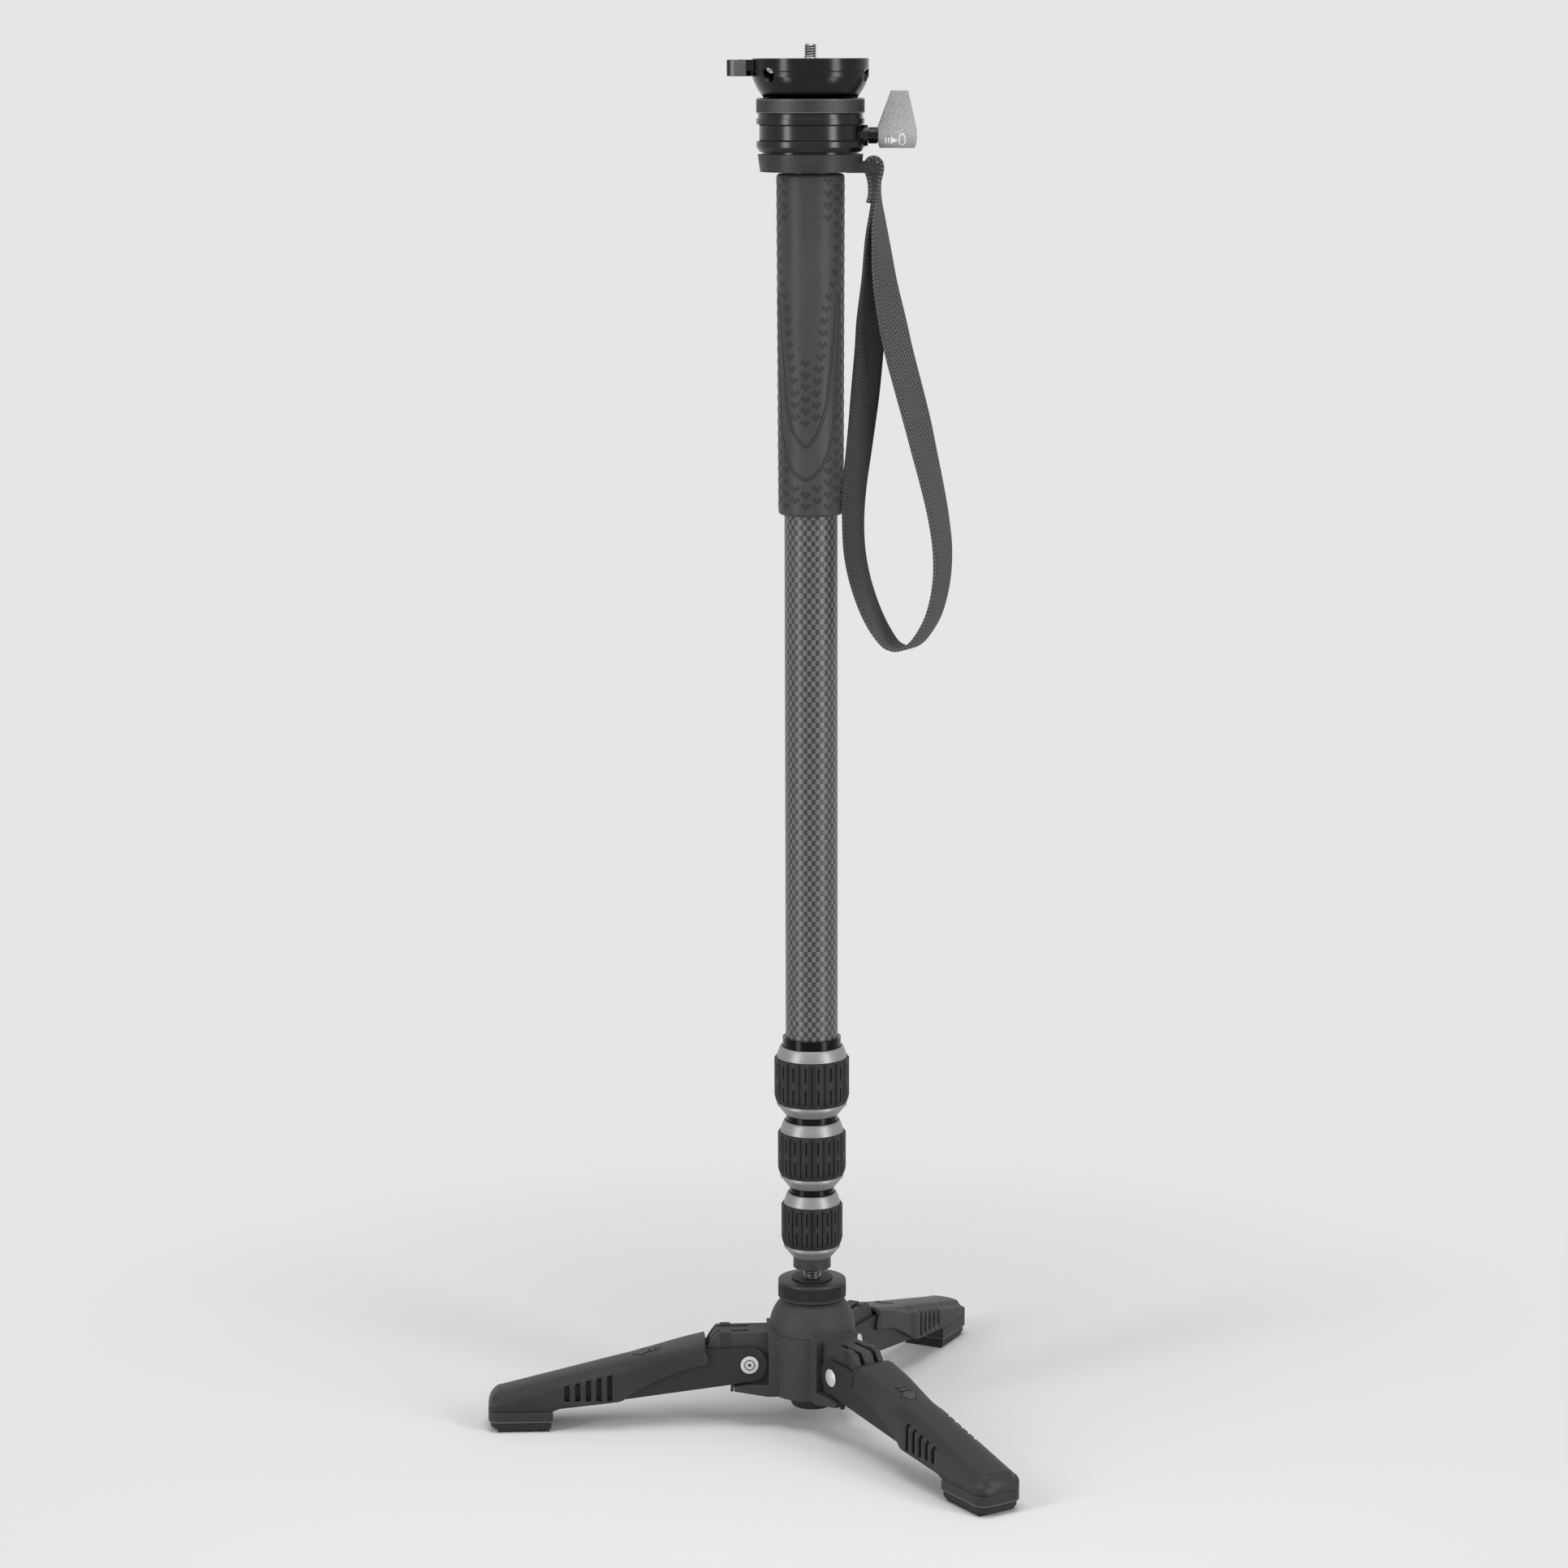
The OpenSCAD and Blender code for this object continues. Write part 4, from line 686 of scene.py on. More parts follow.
def make_nut(i):
    """A silver lock nut: a cone and a lip below the sleeve, and a rounded head above it."""
    lock_z, tube_r, tall = LOCKS[i]
    ring = tube_r + NUT_RIM
    top = NUT_FOOT + tall
    rows = [(tube_r - 1.5, 0), (tube_r + 0.5, 0), (tube_r + 0.7, 0.2), (ring - 0.75, 4.5),
            (ring - 0.75, 4.8), (ring - 0.1, 5.0), (ring + 0.05, 5.2), (ring + 0.05, 6.3),
            (ring - 0.1, NUT_FOOT), (ring - 1, NUT_FOOT), (ring - 1, top), (ring, top)]
    rows += [(ring + 0.1 - 2.0 * t ** 1.6, top + (NUT_HEAD - 0.3) * t) for t in spread(0.1, 1, 10)]
    rows += [(ring - 2.1, top + NUT_HEAD - 0.1), (ring - 2.3, top + NUT_HEAD),
             (tube_r + 2.0, top + NUT_HEAD), (tube_r + 2.0, NUT_FLOOR), (tube_r - 1.5, NUT_FLOOR)]
    points, faces = turned([(r, lock_z + z) for r, z in rows], even_angles(120))
    piece(f"silver_nut_{i}", points, faces, f"lock_nut_{i}", "silver_metal")


make_camera_screw()
make_ball_stud()
make_lock_ring()
make_knob()
for lock in LOCKS:
    make_sleeve(lock)
    make_nut(lock)


# Grip: raised lines and chevrons on the rubber
GRIP_LOW, GRIP_HIGH = 488.5, 665.8
PATTERN_TURN = radians(-10)
COLUMN_PITCH, ROW_PITCH, TOP_ROW = 6.14, 6.22, 662
INNER_LOW, OUTER_LOW = 525.5, 508.3
INNER_U = [(0, 0), (3.3, 2.5), (6.7, 7.5), (9.5, 14.9), (11.8, 24), (12.9, 33.5), (15.6, 55), (17.2, 68),
           (18.7, 80)]
OUTER_U = [(0, 0), (6.27, 3.5), (10.5, 9.9), (13.8, 19.1), (16, 29.2), (17.5, 47.5), (18.2, 54), (20.3, 80),
           (21.2, 96)]
GUIDE = [(660, 18.9), (625, 18.4), (615, 17.2), (606.6, 14.6), (600, 12), (593, 10.8), (581, 9.6),
         (569, 8.2), (557, 6.45), (551, 5.8), (530, 5.9)]
STROKE = [(-2.1, 1.2), (0, -0.9), (2.1, 1.2)]
LINE_WIDTH, STROKE_WIDTH = 1.7, 1.9
GRIP_LOW_R, GRIP_HIGH_R = 17.1, 17.7


def grip_radius(z):
    return mix(GRIP_LOW_R, GRIP_HIGH_R, (z - GRIP_LOW) / (GRIP_HIGH - GRIP_LOW))


# A ridge's section as (side, height, whether it is painted with shade) rows
RIDGE = ((-1, -0.3, 1), (-1, 0.03, 1), (-0.55, 0.05, 1), (-0.4, 0.14, 0), (0.4, 0.14, 0), (0.55, 0.05, 1),
         (1, 0.03, 1), (1, -0.3, 1))


def raised_paths(paths, width):
    """Low ridges on the grip with painted shade along their edges, along paths of (arc, height) points."""
    points, faces = [], []
    painted_shade = []
    for path in paths:
        first = len(points)
        for i, (s, z) in enumerate(path):
            s0, z0 = path[max(i - 1, 0)]
            s1, z1 = path[min(i + 1, len(path) - 1)]
            long = hypot(s1 - s0, z1 - z0)
            side = (-(z1 - z0) / long * width / 2, (s1 - s0) / long * width / 2)
            for k, up, dark in RIDGE:
                r = grip_radius(z) + up
                a = (s + side[0] * k) / grip_radius(z) + PATTERN_TURN
                points.append((r * sin(a), -r * cos(a), z + side[1] * k))
                # Painted shade on the ridge's edges
                painted_shade.append(dark)
        faces += [tuple(first + v for v in face) for face in loft(len(path), len(RIDGE))]
    return points, faces, painted_shade


def along_stops(stops, x):
    """The second value of a row of stops where the first is x."""
    for (x0, y0), (x1, y1) in zip(stops, stops[1:]):
        if min(x0, x1) <= x <= max(x0, x1):
            return mix(y0, y1, (x - x0) / (x1 - x0))
    return stops[-1][1]


def u_line(low, stops):
    right = [(s, low + h) for s, h in stops]
    return smooth_route([(-s, z) for s, z in reversed(right[1:])] + right, 4)


def chevron_places():
    """A staggered lattice round the back and below the U-lines, and guided columns within them."""
    places = []
    for k in range(-8, 10):
        arc = k * COLUMN_PITCH
        under = OUTER_LOW + along_stops(OUTER_U, abs(arc)) - 4 if abs(arc) < 24 else GRIP_HIGH
        for row in range(28):
            z = TOP_ROW - (row + 0.5 * (k % 2)) * ROW_PITCH
            if GRIP_LOW + 3 < z < under or abs(k) == 2 and row < 4:
                places.append((arc, z))
    for row in range(21):
        z = TOP_ROW - (row + 0.5) * ROW_PITCH
        reach = along_stops(GUIDE, z)
        if z > INNER_LOW + 15:
            places += [(-reach, z), (reach, z)]
        if INNER_LOW + 6 < z - ROW_PITCH / 2 < 571:
            places.append((0, z - ROW_PITCH / 2))
    return places


def make_grip_pattern():
    lines = [u_line(INNER_LOW, INNER_U), u_line(OUTER_LOW, OUTER_U)]
    points, faces, painted_shade = raised_paths(lines, LINE_WIDTH)
    piece("grip_lines", points, faces, "grip", "grip_rubber", replaces=False, painted_shade=painted_shade)
    strokes = [[(arc + s, z + h) for s, h in STROKE] for arc, z in chevron_places()]
    points, faces, painted_shade = raised_paths(strokes, STROKE_WIDTH)
    piece("grip_chevrons", points, faces, "grip", "grip_rubber", replaces=False, painted_shade=painted_shade)


make_grip_pattern()


# Legs, in a leg's own frame: X outward from the pivot, Z up
LEG_TURNS = {"left": 183, "front": 303, "rear": 63}
PIVOT_R, PIVOT_Z = 34.7, 26
LEG_L, NOSE_L, NOSE_FLAT, NOSE_R = 142, 6, 7.5, 9
SHELL_IN, SHELL_TOP, SHELL_FALL = 24.0, 13.2, 0.24037
SKIRT_X, SKIRT_DEEP_X = 21.5, 70
PAD_IN, PAD_TOP, PAD_LOW, SOLE_LOW = 107, -23.5, -29.5, -35.5
SLOT_X, SLOT_PITCH, SLOT_W, SLOT_COUNT, SLOT_LOW = 74.6, 5.8, 2.8, 5, -18.2
SLOT_ROWS = (10, 20)
SHELL_WALL = 2.2
TREAD_COUNT, TREAD_START, TREAD_PITCH, TREAD_LONG, TREAD_INSET = 5, 2.2, 5.8, 4.6, 2.0


def in_leg(leg, points):
    turn = Matrix.Rotation(radians(LEG_TURNS[leg]), 4, "Z")
    place = turn @ Matrix.Translation((PIVOT_R, 0, PIVOT_Z))
    return [place @ Vector(p) for p in points]


def plan_half(u):
    if u < SLOT_X:
        return 13.5 + 0.5 * u / SLOT_X
    if u < LEG_L - NOSE_L:
        return mix(14.0, 13.5, (u - SLOT_X) / (LEG_L - NOSE_L - SLOT_X))
    s = min(1, (u - LEG_L + NOSE_L) / NOSE_L)
    return NOSE_FLAT + (13.5 - NOSE_FLAT) * sqrt(1 - s * s)


def crown(u):
    line = SHELL_TOP - (u - SHELL_IN) * SHELL_FALL
    if u < LEG_L - NOSE_R + 2.1:
        return line
    base = SHELL_TOP - (LEG_L - NOSE_R - SHELL_IN) * SHELL_FALL - NOSE_R
    return base + sqrt(max(0, NOSE_R ** 2 - (u - LEG_L + NOSE_R) ** 2))


def skirt_low(u):
    if u < SKIRT_DEEP_X:
        return 1 - 19.5 * max(0, (u - SKIRT_X) / (SKIRT_DEEP_X - SKIRT_X)) ** 1.6
    if u < PAD_IN - 3:
        return mix(-18.5, -22, (u - SKIRT_DEEP_X) / (PAD_IN - 3 - SKIRT_DEEP_X))
    return max(PAD_TOP, mix(-22, PAD_TOP, (u - PAD_IN + 3) / 3))


def shell_half_section(u):
    """One side of the shell from the crest to the lower edge, as (side, height) points."""
    top, low, wide = crown(u), skirt_low(u), plan_half(u)
    wide -= 0.9 * (1 - ease(64, 70, u))
    drop = mix(1.3, 4.2, ease(34, 66, u))
    drop = min(drop, 0.45 * (top - low))
    spine = mix(wide - 2.2, wide - 4.4, ease(52, 72, u))
    dome = min(1.2, 0.4 * drop)
    side = [(spine * sin(a), top - dome * (1 - cos(a)) / (1 - cos(1.35)))
            for a in spread(0, 1.35, 8)]
    foot = spine * sin(1.35)
    shoulder = wide - 1.0
    for t in (0.2, 0.45, 0.75, 1.0):
        side.append((mix(foot, shoulder, t), mix(top - dome, top - drop, 1 - (1 - t) ** 2.2)))
    bend = min(1.3, 0.4 * (top - drop - low))
    for a in (0.45, 0.9, 1.3):
        side.append((shoulder + sin(a), top - drop - bend * (1 - cos(a))))
    flank_top = top - drop - bend
    stop = min(max(SLOT_LOW, low + 0.6), flank_top - 0.2)
    side += [(wide, z) for z in spread(flank_top, stop + 0.1, 5)]
    side.append((wide, stop))
    side.append((wide, low))
    return side


def shell_stations():
    """The places of the shell's sections, each with whether a slot starts there."""
    stops = [(u, False) for u in spread(SHELL_IN, SLOT_X - 0.6, 22)]
    for i in range(SLOT_COUNT):
        u = SLOT_X + i * SLOT_PITCH
        stops += [(u, True), (u + SLOT_W, False)]
    end = SLOT_X + SLOT_COUNT * SLOT_PITCH
    stops += [(u, False) for u in spread(end, LEG_L - NOSE_R, 16)]
    stops += [(LEG_L - NOSE_R + NOSE_R * sin(a), False) for a in spread(0.12, pi / 2, 16)]
    return stops


def make_shell(leg):
    points = []
    stations = shell_stations()
    for n, (u, _) in enumerate(stations):
        half = shell_half_section(u)
        ring = [(-y, z) for y, z in reversed(half[1:])] + half
        for y, z in ring:
            reach = 2.4 * ease(8.0, 4.0, z) if n == 0 else 0
            points.append((u - reach, y, z))
    columns = len(ring)
    middle = columns // 2
    faces = []
    for index, face in enumerate(bands(len(stations), columns, wrap_columns=False)):
        i, j = divmod(index, columns - 1)
        from_crest = j - middle if j >= middle else middle - 1 - j
        if not (stations[i][1] and SLOT_ROWS[0] <= from_crest < SLOT_ROWS[1]):
            faces.append(face[::-1])
    last = (len(stations) - 1) * columns
    faces.append(tuple(range(last + columns - 1, last - 1, -1)))
    shell = piece(f"{leg}_leg_shell", in_leg(leg, points), faces, f"{leg}_shell", "leg_plastic", sharp=32,
                  closed=False)
    wall = shell.modifiers.new("wall", "SOLIDIFY")
    wall.thickness = SHELL_WALL * MM
    wall.offset = -1


def pad_ring(inset, nose, z):
    """The pad's outline at one height, drawn in at its sides and at its nose."""
    ring = []
    long = LEG_L - nose - PAD_IN - inset
    shares = spread(0, 0.58, 6) + [1 - 0.4 * (1 - sin(a)) for a in spread(0.15, pi / 2, 12)]
    for t in shares:
        u = PAD_IN + inset + long * t
        ring.append((u, plan_half(PAD_IN + (LEG_L - PAD_IN) * t) - inset, z))
    return ring + [(u, -y, z) for u, y, z in reversed(ring)]


def stacked(levels):
    """A closed block through outlines at rising heights."""
    rings = [pad_ring(inset, nose, z) for inset, nose, z in levels]
    return [p for ring in rings for p in ring], loft(len(rings), len(rings[0]))


def tread_bar(low_u, high_u, inset):
    """One bar across the sole's tread."""
    points = []
    for z, shrink in ((SOLE_LOW, 0.6), (SOLE_LOW + 1.2, 0)):
        for u in (low_u, high_u):
            y = plan_half(u) - inset - shrink
            points += [(u, y, z), (u, -y, z)]
    faces = [(0, 1, 3, 2), (4, 5, 7, 6), (0, 1, 5, 4), (2, 3, 7, 6), (0, 2, 6, 4), (1, 3, 7, 5)]
    return points, faces


def make_pad(leg):
    levels = [(0.5, 0.5, PAD_LOW + 0.02), (0.05, 0, PAD_LOW + 0.5), (0.05, 0, PAD_TOP - 0.6),
              (0.6, 0.5, PAD_TOP - 0.06)]
    points, faces = stacked(levels)
    piece(f"{leg}_pad_plate", in_leg(leg, points), faces, f"{leg}_pad", "leg_plastic")
    # A light band round the foot of the pad plate: a painted highlight
    levels = [(0.6, 0.6, PAD_LOW + 0.03), (0.0, 0.0, PAD_LOW + 0.1), (0.0, 0.0, PAD_LOW + 0.42),
              (0.6, 0.6, PAD_LOW + 0.5)]
    points, faces = stacked(levels)
    piece(f"{leg}_pad_rim_highlight", in_leg(leg, points), faces, f"{leg}_pad", "leg_plastic", replaces=False,
          finish="pad_rim_highlight")
    levels = [(3.2, 5.0, SOLE_LOW + 0.9), (1.8, 2.8, SOLE_LOW + 1.3), (0.9, 1.2, SOLE_LOW + 2.8),
              (0.8, 0.8, PAD_LOW - 0.06)]
    points, faces = stacked(levels)
    for i in range(TREAD_COUNT):
        low_u = PAD_IN + TREAD_START + i * TREAD_PITCH
        join(points, faces, *tread_bar(low_u, low_u + TREAD_LONG, TREAD_INSET))
    piece(f"{leg}_tread_sole", in_leg(leg, points), faces, f"{leg}_sole", "soft_rubber",
          finish="sole_rubber")


PIN_FACE, PIN_R, HEAD_POINTS = 11.1, 2.5, 40
DOMED_HEAD = [(0, 1.3), (1.2, 1.25), (2.4, 1.05), (3.5, 0.75), (4.4, 0.35), (4.95, 0), (0, 0)]
HOLLOW_HEAD = [(0, 0.1), (0.8, 0.1), (0.95, 0.8), (1.2, 1.1), (2.0, 1.1), (2.3, 0.9), (2.5, 0.3),
               (2.9, 0.3), (3.1, 0.85), (4.4, 0.8), (4.8, 0.6), (4.95, 0.2), (4.95, 0), (0, 0)]


def make_pins():
    points, faces = [], []
    painted_shade = []
    for leg in LEG_TURNS:
        for side in (-1, 1):
            head = HOLLOW_HEAD if leg == "left" and side == 1 else DOMED_HEAD
            made, sides = turned([(r, PIN_FACE + h) for r, h in head], even_angles(HEAD_POINTS))
            flat = Matrix.Rotation(radians(-90 * side), 4, "X")
            # Painted shade in the hollow of the hollow rivet's head
            recess_shade = [max(0, 0.7 - h) if head is HOLLOW_HEAD and r < 3.05 else 0 for r, h in head]
            painted_shade += [d for d in recess_shade for _ in range(HEAD_POINTS)]
            join(points, faces, in_leg(leg, [flat @ Vector(p) for p in made]), sides)
        rod = [(0, -PIN_FACE), (PIN_R, -PIN_FACE), (PIN_R, PIN_FACE), (0, PIN_FACE)]
        shaft, sides = turned(rod, even_angles(32))
        across = Matrix.Rotation(radians(90), 4, "X")
        join(points, faces, in_leg(leg, [across @ Vector(p) for p in shaft]), sides)
        painted_shade += [0] * len(shaft)
    piece("rivets", points, faces, "pivot_pins", "steel", finish="bright_steel", painted_shade=painted_shade)


ARROW = [[(0, 0), (5.6, 4.8), (5.6, 2.2), (8.2, 2.2), (8.2, -2.2), (5.6, -2.2), (5.6, -4.8)],
         [(9.4, 2.2), (11.6, 2.2), (11.6, -2.2), (9.4, -2.2)],
         [(12.8, 2.2), (14.0, 2.2), (14.0, -2.2), (12.8, -2.2)]]
ARROW_TIP = 63
# The arrow and its dark edge of painted shade: name, growth, lift and finish
ARROW_LAYERS = (("arrow", 0.0, 0.3, "leg_mark"), ("arrow_shade_edge", 0.5, 0.1, "painted_shade_line"))
ARROW_ROOT = -0.8


def make_arrow(leg):
    """A raised direction arrow with edges of painted shade on the shell's top, pointing to the nose."""
    for name, grow, lift, finish in ARROW_LAYERS:
        points, faces = [], []
        for outline in ARROW:
            middle = sum(x for x, _ in outline) / len(outline)
            form = []
            for up in (ARROW_ROOT, lift):
                for x, y in outline:
                    u = ARROW_TIP - x - copysign(grow, x - middle)
                    form.append((u, y + copysign(grow, y), crown(u) + up))
            join(points, faces, form, loft(2, len(outline)))
        piece(f"{leg}_{name}", in_leg(leg, points), faces, f"{leg}_shell", "leg_plastic", replaces=False,
              finish=finish)


LUG_SLOT_Y, BLOCK_HALF, BLOCK_LOW, BLOCK_SPRING = 4.25, 1.3, 9.0, 14.2
BLOCK_ARC = 9
BLOCK_ENDS = ((8.0, 0), (16.3, 0), (17.0, 0.25), (17.4, 0.65), (17.6, 1.2))


def make_lug_blocks(leg):
    """Blocks with rounded tops and ends in the two slots of the hub's lug."""
    points, faces = [], []
    for middle in (-LUG_SLOT_Y, LUG_SLOT_Y):
        form = []
        for u, shrink in BLOCK_ENDS:
            half = BLOCK_HALF - shrink
            form += [(u, middle + half * cos(a), BLOCK_SPRING + half * sin(a))
                     for a in spread(0, pi, BLOCK_ARC)]
            form += [(u, middle - half, BLOCK_LOW + shrink), (u, middle + half, BLOCK_LOW + shrink)]
        join(points, faces, form, loft(len(BLOCK_ENDS), BLOCK_ARC + 2))
    piece(f"{leg}_lug_blocks", in_leg(leg, points), faces, "hub", "leg_plastic", replaces=False)


LUG_CAP = ((9.5, 8.0), (16.2, 8.0), (16.2, 17.2), (15.2, 18.3), (10.3, 18.3), (9.5, 17.5))
LUG_CAP_LEVELS = ((5.8, 0), (8.5, 0), (8.72, 0.3))


def make_lug_caps(leg):
    """Raised caps on the two outer fins of the hub's lug."""
    points, faces = [], []
    n = len(LUG_CAP)
    middle = [sum(p[k] for p in LUG_CAP) / n for k in range(2)]
    for side in (-1, 1):
        form = []
        for y, inset in LUG_CAP_LEVELS:
            form += [(u - copysign(inset, u - middle[0]), side * y,
                      z - copysign(inset, z - middle[1])) for u, z in LUG_CAP]
        join(points, faces, form, loft(len(LUG_CAP_LEVELS), n))
    piece(f"{leg}_lug_caps", in_leg(leg, points), faces, "hub", "leg_plastic", replaces=False, sharp=25)


for leg_name in LEG_TURNS:
    make_lug_caps(leg_name)
    make_lug_blocks(leg_name)
    make_shell(leg_name)
    make_pad(leg_name)
    make_arrow(leg_name)
make_pins()


# Marks round the lever's hub: two bars, an arrow and a ring
LEVER_Z, HANDLE_X, LEVER_R = 685.1, 34.8, 6.5
MARK_LIFT, MARK_ROOT = 0.1, -0.3
BAR_STEPS, BAR_STEP = (-4.1, -3.35, -2.6, -1.85), 0.75
RING_X, RING_ARC, RING_OUTER, RING_INNER, RING_POINTS = 12.4, -2.3, (1.9, 3.4), (1.3, 2.8), 48
LEVER_BARS = ((3.5, 4.3), (5.0, 5.8))
LEVER_ARROW = (6.5, 10.2, -2.6, 2.1)


def on_lever(x, arc, lift):
    """A point on the front of the lever's hub, at an arc above its axis."""
    reach = LEVER_R + lift
    return (HANDLE_X + x, -reach * cos(arc / LEVER_R), LEVER_Z + reach * sin(arc / LEVER_R))


def make_lever_marks():
    shapes = []
    for a, b in LEVER_BARS:
        shapes += [[(a, low), (b, low), (b, low + BAR_STEP), (a, low + BAR_STEP)] for low in BAR_STEPS]
    back, tip, middle, half = LEVER_ARROW
    for s0, s1 in zip(spread(-1, 1, 9), spread(-1, 1, 9)[1:]):
        ends = [mix(tip, back, abs(s)) for s in (s0, s1)]
        shapes.append([(back, middle + half * s0), (ends[0], middle + half * s0),
                       (ends[1], middle + half * s1), (back, middle + half * s1)])
    points, faces = [], []
    for outline in shapes:
        form = [on_lever(x, arc, lift) for lift in (MARK_ROOT, MARK_LIFT) for x, arc in outline]
        join(points, faces, form, loft(2, len(outline)))
    ring = []
    for (wide, tall), lift in ((RING_OUTER, MARK_ROOT), (RING_OUTER, MARK_LIFT), (RING_INNER, MARK_LIFT),
                               (RING_INNER, MARK_ROOT)):
        ring += [on_lever(RING_X + wide * sin(a), RING_ARC + tall * cos(a), lift)
                 for a in even_angles(RING_POINTS)]
    join(points, faces, ring, bands(4, RING_POINTS, wrap_rows=True))
    piece("lever_marks", points, faces, "lever_handle", "lever_metal", replaces=False, finish="white_mark")


make_lever_marks()


SPRING_TURNS, SPRING_WIRE, SPRING_SIDES = 3, 0.25, 10
SPRING_STOPS = 24 * SPRING_TURNS + 1


def make_lever_spring():
    """The lever's spring, squeezed between the handle and the head of its screw."""
    low, high = (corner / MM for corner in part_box("lever_spring"))
    reach = (high.y - low.y) / 2 - SPRING_WIRE
    points = []
    for t in spread(0, 1, SPRING_STOPS):
        out = Vector((0, cos(TURN * SPRING_TURNS * t), sin(TURN * SPRING_TURNS * t)))
        middle = Vector((mix(low.x + SPRING_WIRE, high.x - SPRING_WIRE, t), 0, LEVER_Z)) + out * reach
        points += [middle + SPRING_WIRE * (out * cos(a) + Vector((sin(a), 0, 0)))
                   for a in even_angles(SPRING_SIDES)]
    faces = loft(SPRING_STOPS, SPRING_SIDES)
    spring = piece("squeezed_spring", points, faces, "lever_spring", "steel", rides=False)
    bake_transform(spring)


make_lever_spring()


# Bubble level: the ring drawn on the glass
def make_bubble():
    top = 723.7
    ring = [(2.0, top - 0.02), (2.0, top + 0.12), (2.35, top + 0.12), (2.35, top - 0.02)]
    points, faces = turned(ring, even_angles(40))
    points = [(x - TAB_X, y, z) for x, y, z in points]
    piece("level_ring", points, faces, "bubble_vial", "black_plastic", replaces=False)


# The level's tab: flat faces round its end
TAB_X, TAB_LOW, TAB_HIGH, TAB_IN = 36.5, 715.45, 723.72, 6.2
TAB_FACES = ((90, 6.56), (180, 6.6), (270, 6.56))
TAB_CORNER = 7.3
# Bearings over which the tab's painted shade fades out
TAB_SHADED_BEARINGS = (222, 236)
TAB_BEVEL, TAB_BEARINGS = 0.4, (62, 298, 119)


def make_level_tab():
    bearings = spread(*TAB_BEARINGS)
    points = []
    for z, inset in ((TAB_LOW, TAB_BEVEL), (TAB_LOW + TAB_BEVEL, 0), (TAB_HIGH - TAB_BEVEL, 0),
                     (TAB_HIGH, TAB_BEVEL)):
        for b in bearings:
            reach = min([TAB_CORNER] + [d / max(0.3, cos(radians(b - n))) for n, d in TAB_FACES])
            a = radians(b)
            points.append(((reach - inset) * cos(a) - TAB_X, (reach - inset) * sin(a), z))
    for z in (TAB_HIGH, TAB_LOW):
        for b in bearings:
            a = radians(b)
            points.append((TAB_IN * cos(a) - TAB_X, TAB_IN * sin(a), z))
    n = len(bearings)
    # Painted shade on the tab's back and end faces, fading out before its front faces
    painted_shade = [1 - ease(*TAB_SHADED_BEARINGS, b) for b in bearings] * 6
    faces = bands(6, n, wrap_columns=False, wrap_rows=True)
    faces += [tuple(i * n for i in range(6)), tuple(i * n + n - 1 for i in range(6))]
    # The tab's finish is a lighter copy of the black metal: a painted highlight.
    piece("level_tab", points, faces, "platform_disc", "black_metal", replaces=False, sharp=8,
          finish="tab_lit_metal", painted_shade=painted_shade)


make_bubble()
make_level_tab()


# Fine dark lines of painted shade where two surfaces meet
DISC_R, DISC_SEAM_Z = 30.2, 717.8
SEAM_ARCS = ((-127, -25), (-7, 95), (113, 166), (194, 215))
HUB_R, HUB_SEAM_Z = 23.5, 43.5
BAND_R, BAND_SEAMS_Z, BAND_ARC = 26.5, (682.7, 690.6), (16, 344)
DISC_SEAM_HALF, BAND_SEAM_HALF, HUB_SEAM_HALF = 0.3, 0.4, 0.15
SEAM_ROOT, SEAM_LIFT = -0.4, 0.03


def seam_arc(radius, z, low, high, half_height):
    """A thin band on a cylinder between two bearings."""
    angles = [radians(a) for a in spread(low, high, 60)]
    section = ((SEAM_ROOT, -half_height), (SEAM_LIFT, -half_height), (SEAM_LIFT, half_height),
               (SEAM_ROOT, half_height))
    points = [((radius + out) * cos(a), (radius + out) * sin(a), z + up)
              for a in angles for out, up in section]
    return points, loft(len(angles), len(section))


def make_seams():
    # Each dark band is painted shade in the gap between two parts.
    points, faces = [], []
    for low, high in SEAM_ARCS:
        join(points, faces, *seam_arc(DISC_R, DISC_SEAM_Z, low, high, DISC_SEAM_HALF))
    piece("disc_seam_shade", points, faces, "platform_disc", "black_metal", replaces=False, finish="painted_shade_line")
    points, faces = [], []
    for z in BAND_SEAMS_Z:
        join(points, faces, *seam_arc(BAND_R, z, *BAND_ARC, BAND_SEAM_HALF))
    piece("band_seam_shades", points, faces, "leveling_body", "black_metal", replaces=False, finish="painted_shade_line")
    points, faces = seam_arc(HUB_R, HUB_SEAM_Z, 0, 360, HUB_SEAM_HALF)
    piece("hub_seam_shade", points, faces, "hub", "leg_plastic", replaces=False, finish="painted_shade_line")


make_seams()


# Finishes of the CAD nodes that stay
SPECIAL_FINISH = {"top_plug": "black_metal", "lever_screw": "black_metal", "top_collar": "collar_metal",
                  "leveling_body": "body_metal", "grub_screws": "bright_steel", "hub": "hub_plastic"}
SPECIAL_FINISH.update({f"lock_base_{lock}": "gloss_metal" for lock in LOCKS})
SPECIAL_FINISH.update({f"{leg}_arm": "arm_metal" for leg in LEG_TURNS})
for row in frame["record"]["subparts"]:
    kind = SPECIAL_FINISH.get(row["node"], row["material_slot"])
    NODES[row["node"]].material_slots[0].material = FINISH[kind]


# Floor, light and background
FLOOR_Z = -9.55
FLOOR_LEVEL = 0.96
FLOOR_HALF, FLOOR_FADE = 3.0, (0.18, 0.6)
PALE = (0.79, 0.79, 0.79, 1)
AMBIENT = 0.28


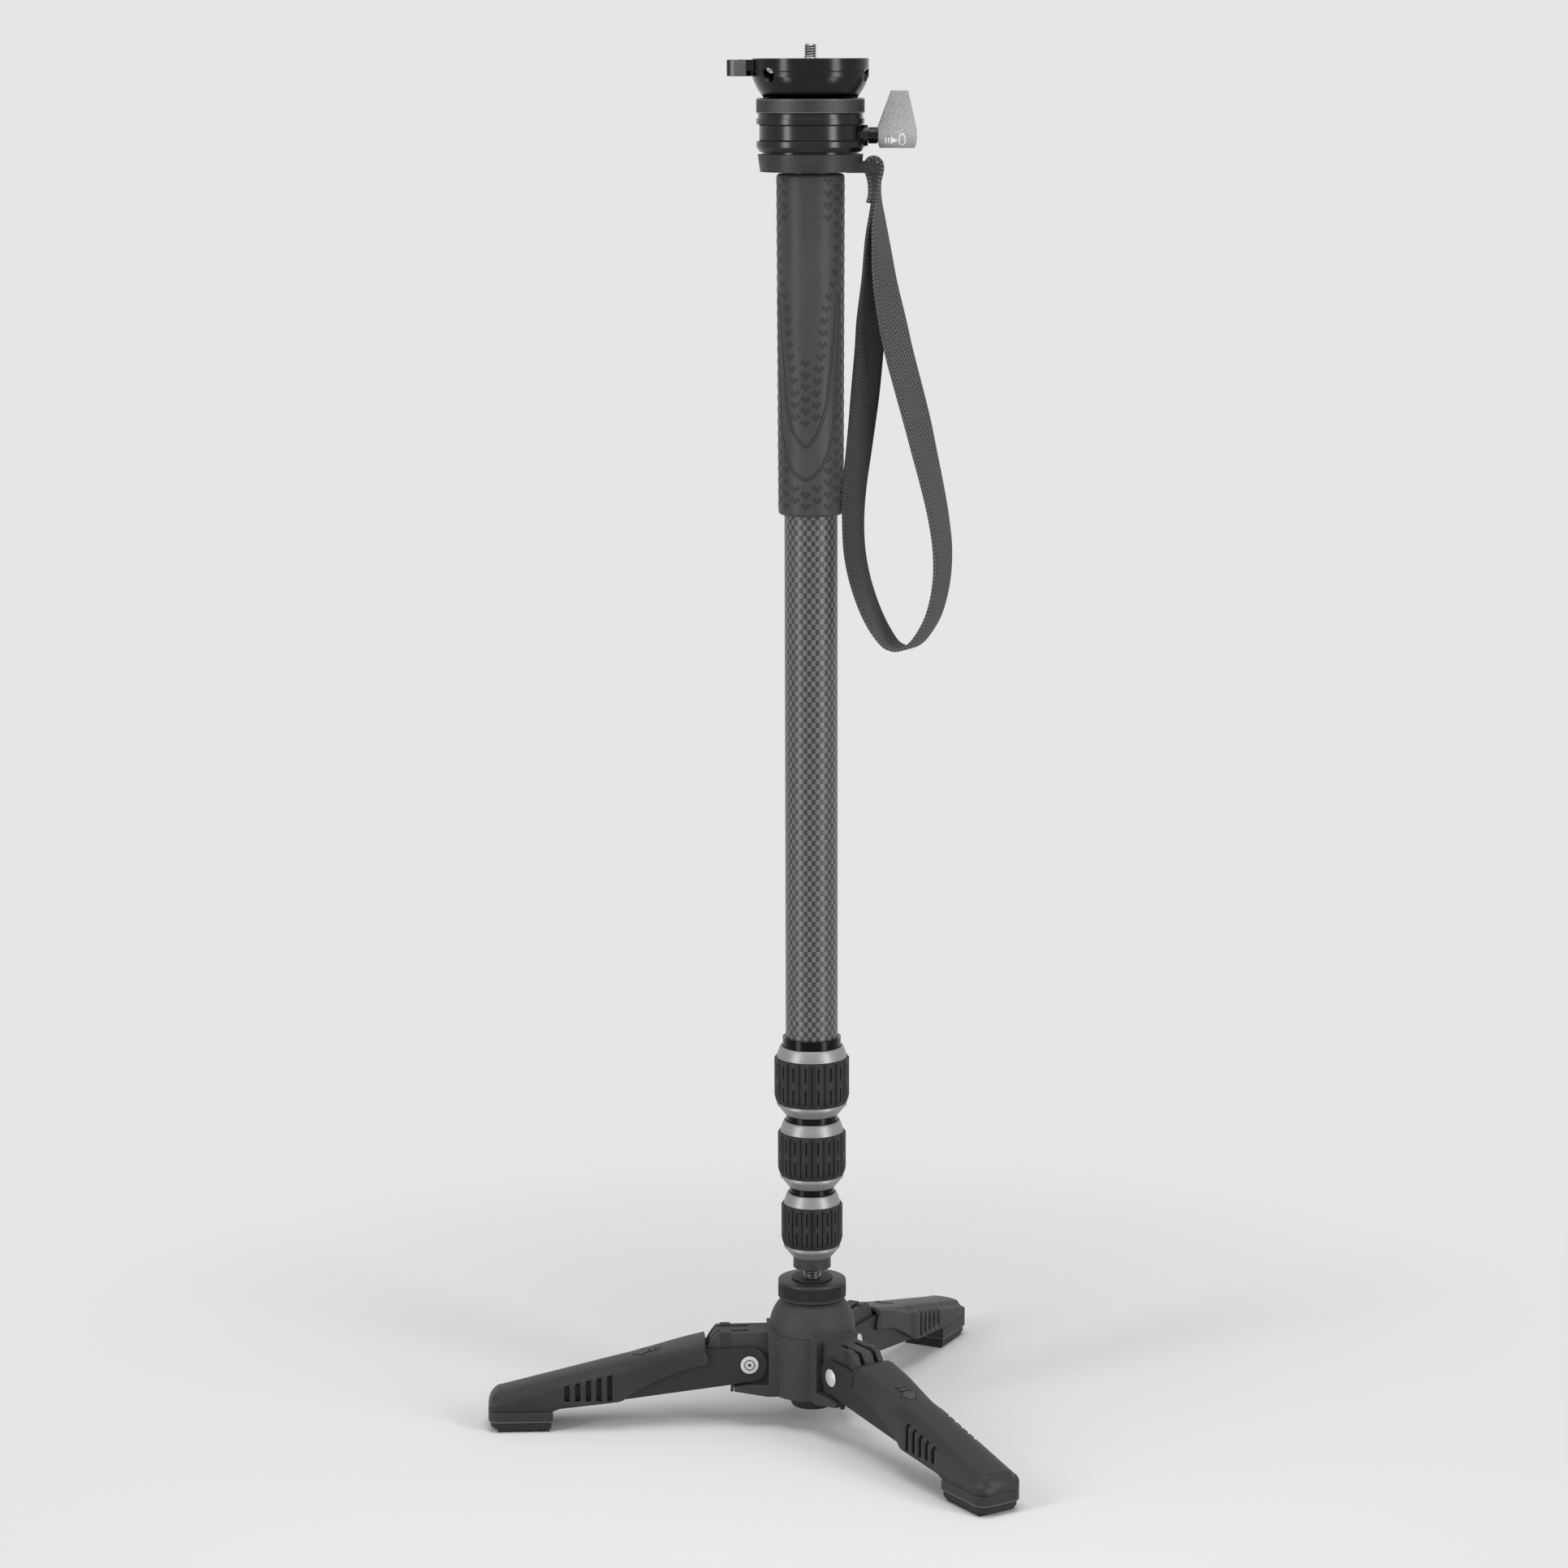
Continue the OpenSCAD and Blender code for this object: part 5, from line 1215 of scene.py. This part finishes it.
# Softboxes: place and size in metres, and watts
LAMP_TARGET = (0, 0, 0.4)
LAMPS = {"left_softbox": ((-1.42, -1.02, 0.45), (0.4, 2.2), 20),
         "right_softbox": ((1.36, -1.1, 0.45), (0.45, 2.2), 22),
         "top_softbox": ((0, -0.4, 2.0), (1.2, 1.2), 14)}


def make_floor():
    """A pale floor that takes the shadow and fades into the backdrop."""
    mesh = bpy.data.meshes.new("floor")
    corners = ((-1, -1), (1, -1), (1, 1), (-1, 1))
    mesh.from_pydata([(x * FLOOR_HALF, y * FLOOR_HALF, FLOOR_Z * MM) for x, y in corners], [],
                     [(0, 1, 2, 3)])
    material = bpy.data.materials.new("floor")
    material.use_nodes = True
    tree = material.node_tree
    tree.nodes.clear()
    coords = node(tree, "ShaderNodeTexCoord").outputs["Object"]
    away = node(tree, "ShaderNodeVectorMath", {0: coords}, operation="LENGTH").outputs["Value"]
    fade = node(tree, "ShaderNodeMapRange", {0: away, 1: FLOOR_FADE[0], 2: FLOOR_FADE[1]},
                interpolation_type="SMOOTHSTEP")
    diffuse = node(tree, "ShaderNodeBsdfDiffuse", {"Color": grey(FLOOR_LEVEL)})
    clear = node(tree, "ShaderNodeBsdfTransparent")
    both = node(tree, "ShaderNodeMixShader", {0: fade.outputs[0], 1: diffuse.outputs[0],
                                              2: clear.outputs[0]})
    node(tree, "ShaderNodeOutputMaterial", {0: both.outputs[0]})
    mesh.materials.append(material)
    ground = bpy.data.objects.new("floor", mesh)
    bpy.context.scene.collection.objects.link(ground)


def make_light(name, place, size, watts):
    data = bpy.data.lights.new(name, "AREA")
    data.shape = "RECTANGLE"
    data.size, data.size_y = size
    data.energy = watts
    light = bpy.data.objects.new(name, data)
    light.location = place
    light.rotation_euler = (Vector(LAMP_TARGET) - Vector(place)).to_track_quat("-Z", "Y").to_euler()
    bpy.context.scene.collection.objects.link(light)


def make_world():
    """Soft light all round; the camera, glass and metal all see the pale backdrop."""
    world = bpy.data.worlds.new("studio")
    world.use_nodes = True
    tree = world.node_tree
    tree.nodes.clear()
    path = node(tree, "ShaderNodeLightPath").outputs
    straight = calc(tree, "MAXIMUM", path["Is Camera Ray"], path["Is Transmission Ray"])
    seen = calc(tree, "MAXIMUM", straight, path["Is Glossy Ray"])
    ambient = node(tree, "ShaderNodeBackground", {"Color": grey(AMBIENT)})
    backdrop = node(tree, "ShaderNodeBackground", {"Color": PALE})
    both = node(tree, "ShaderNodeMixShader", {0: seen, 1: ambient.outputs[0], 2: backdrop.outputs[0]})
    node(tree, "ShaderNodeOutputWorld", {0: both.outputs[0]})
    bpy.context.scene.world = world


make_floor()
make_world()
for lamp, setting in LAMPS.items():
    make_light(lamp, *setting)
bpy.context.scene.view_settings.view_transform = "Standard"
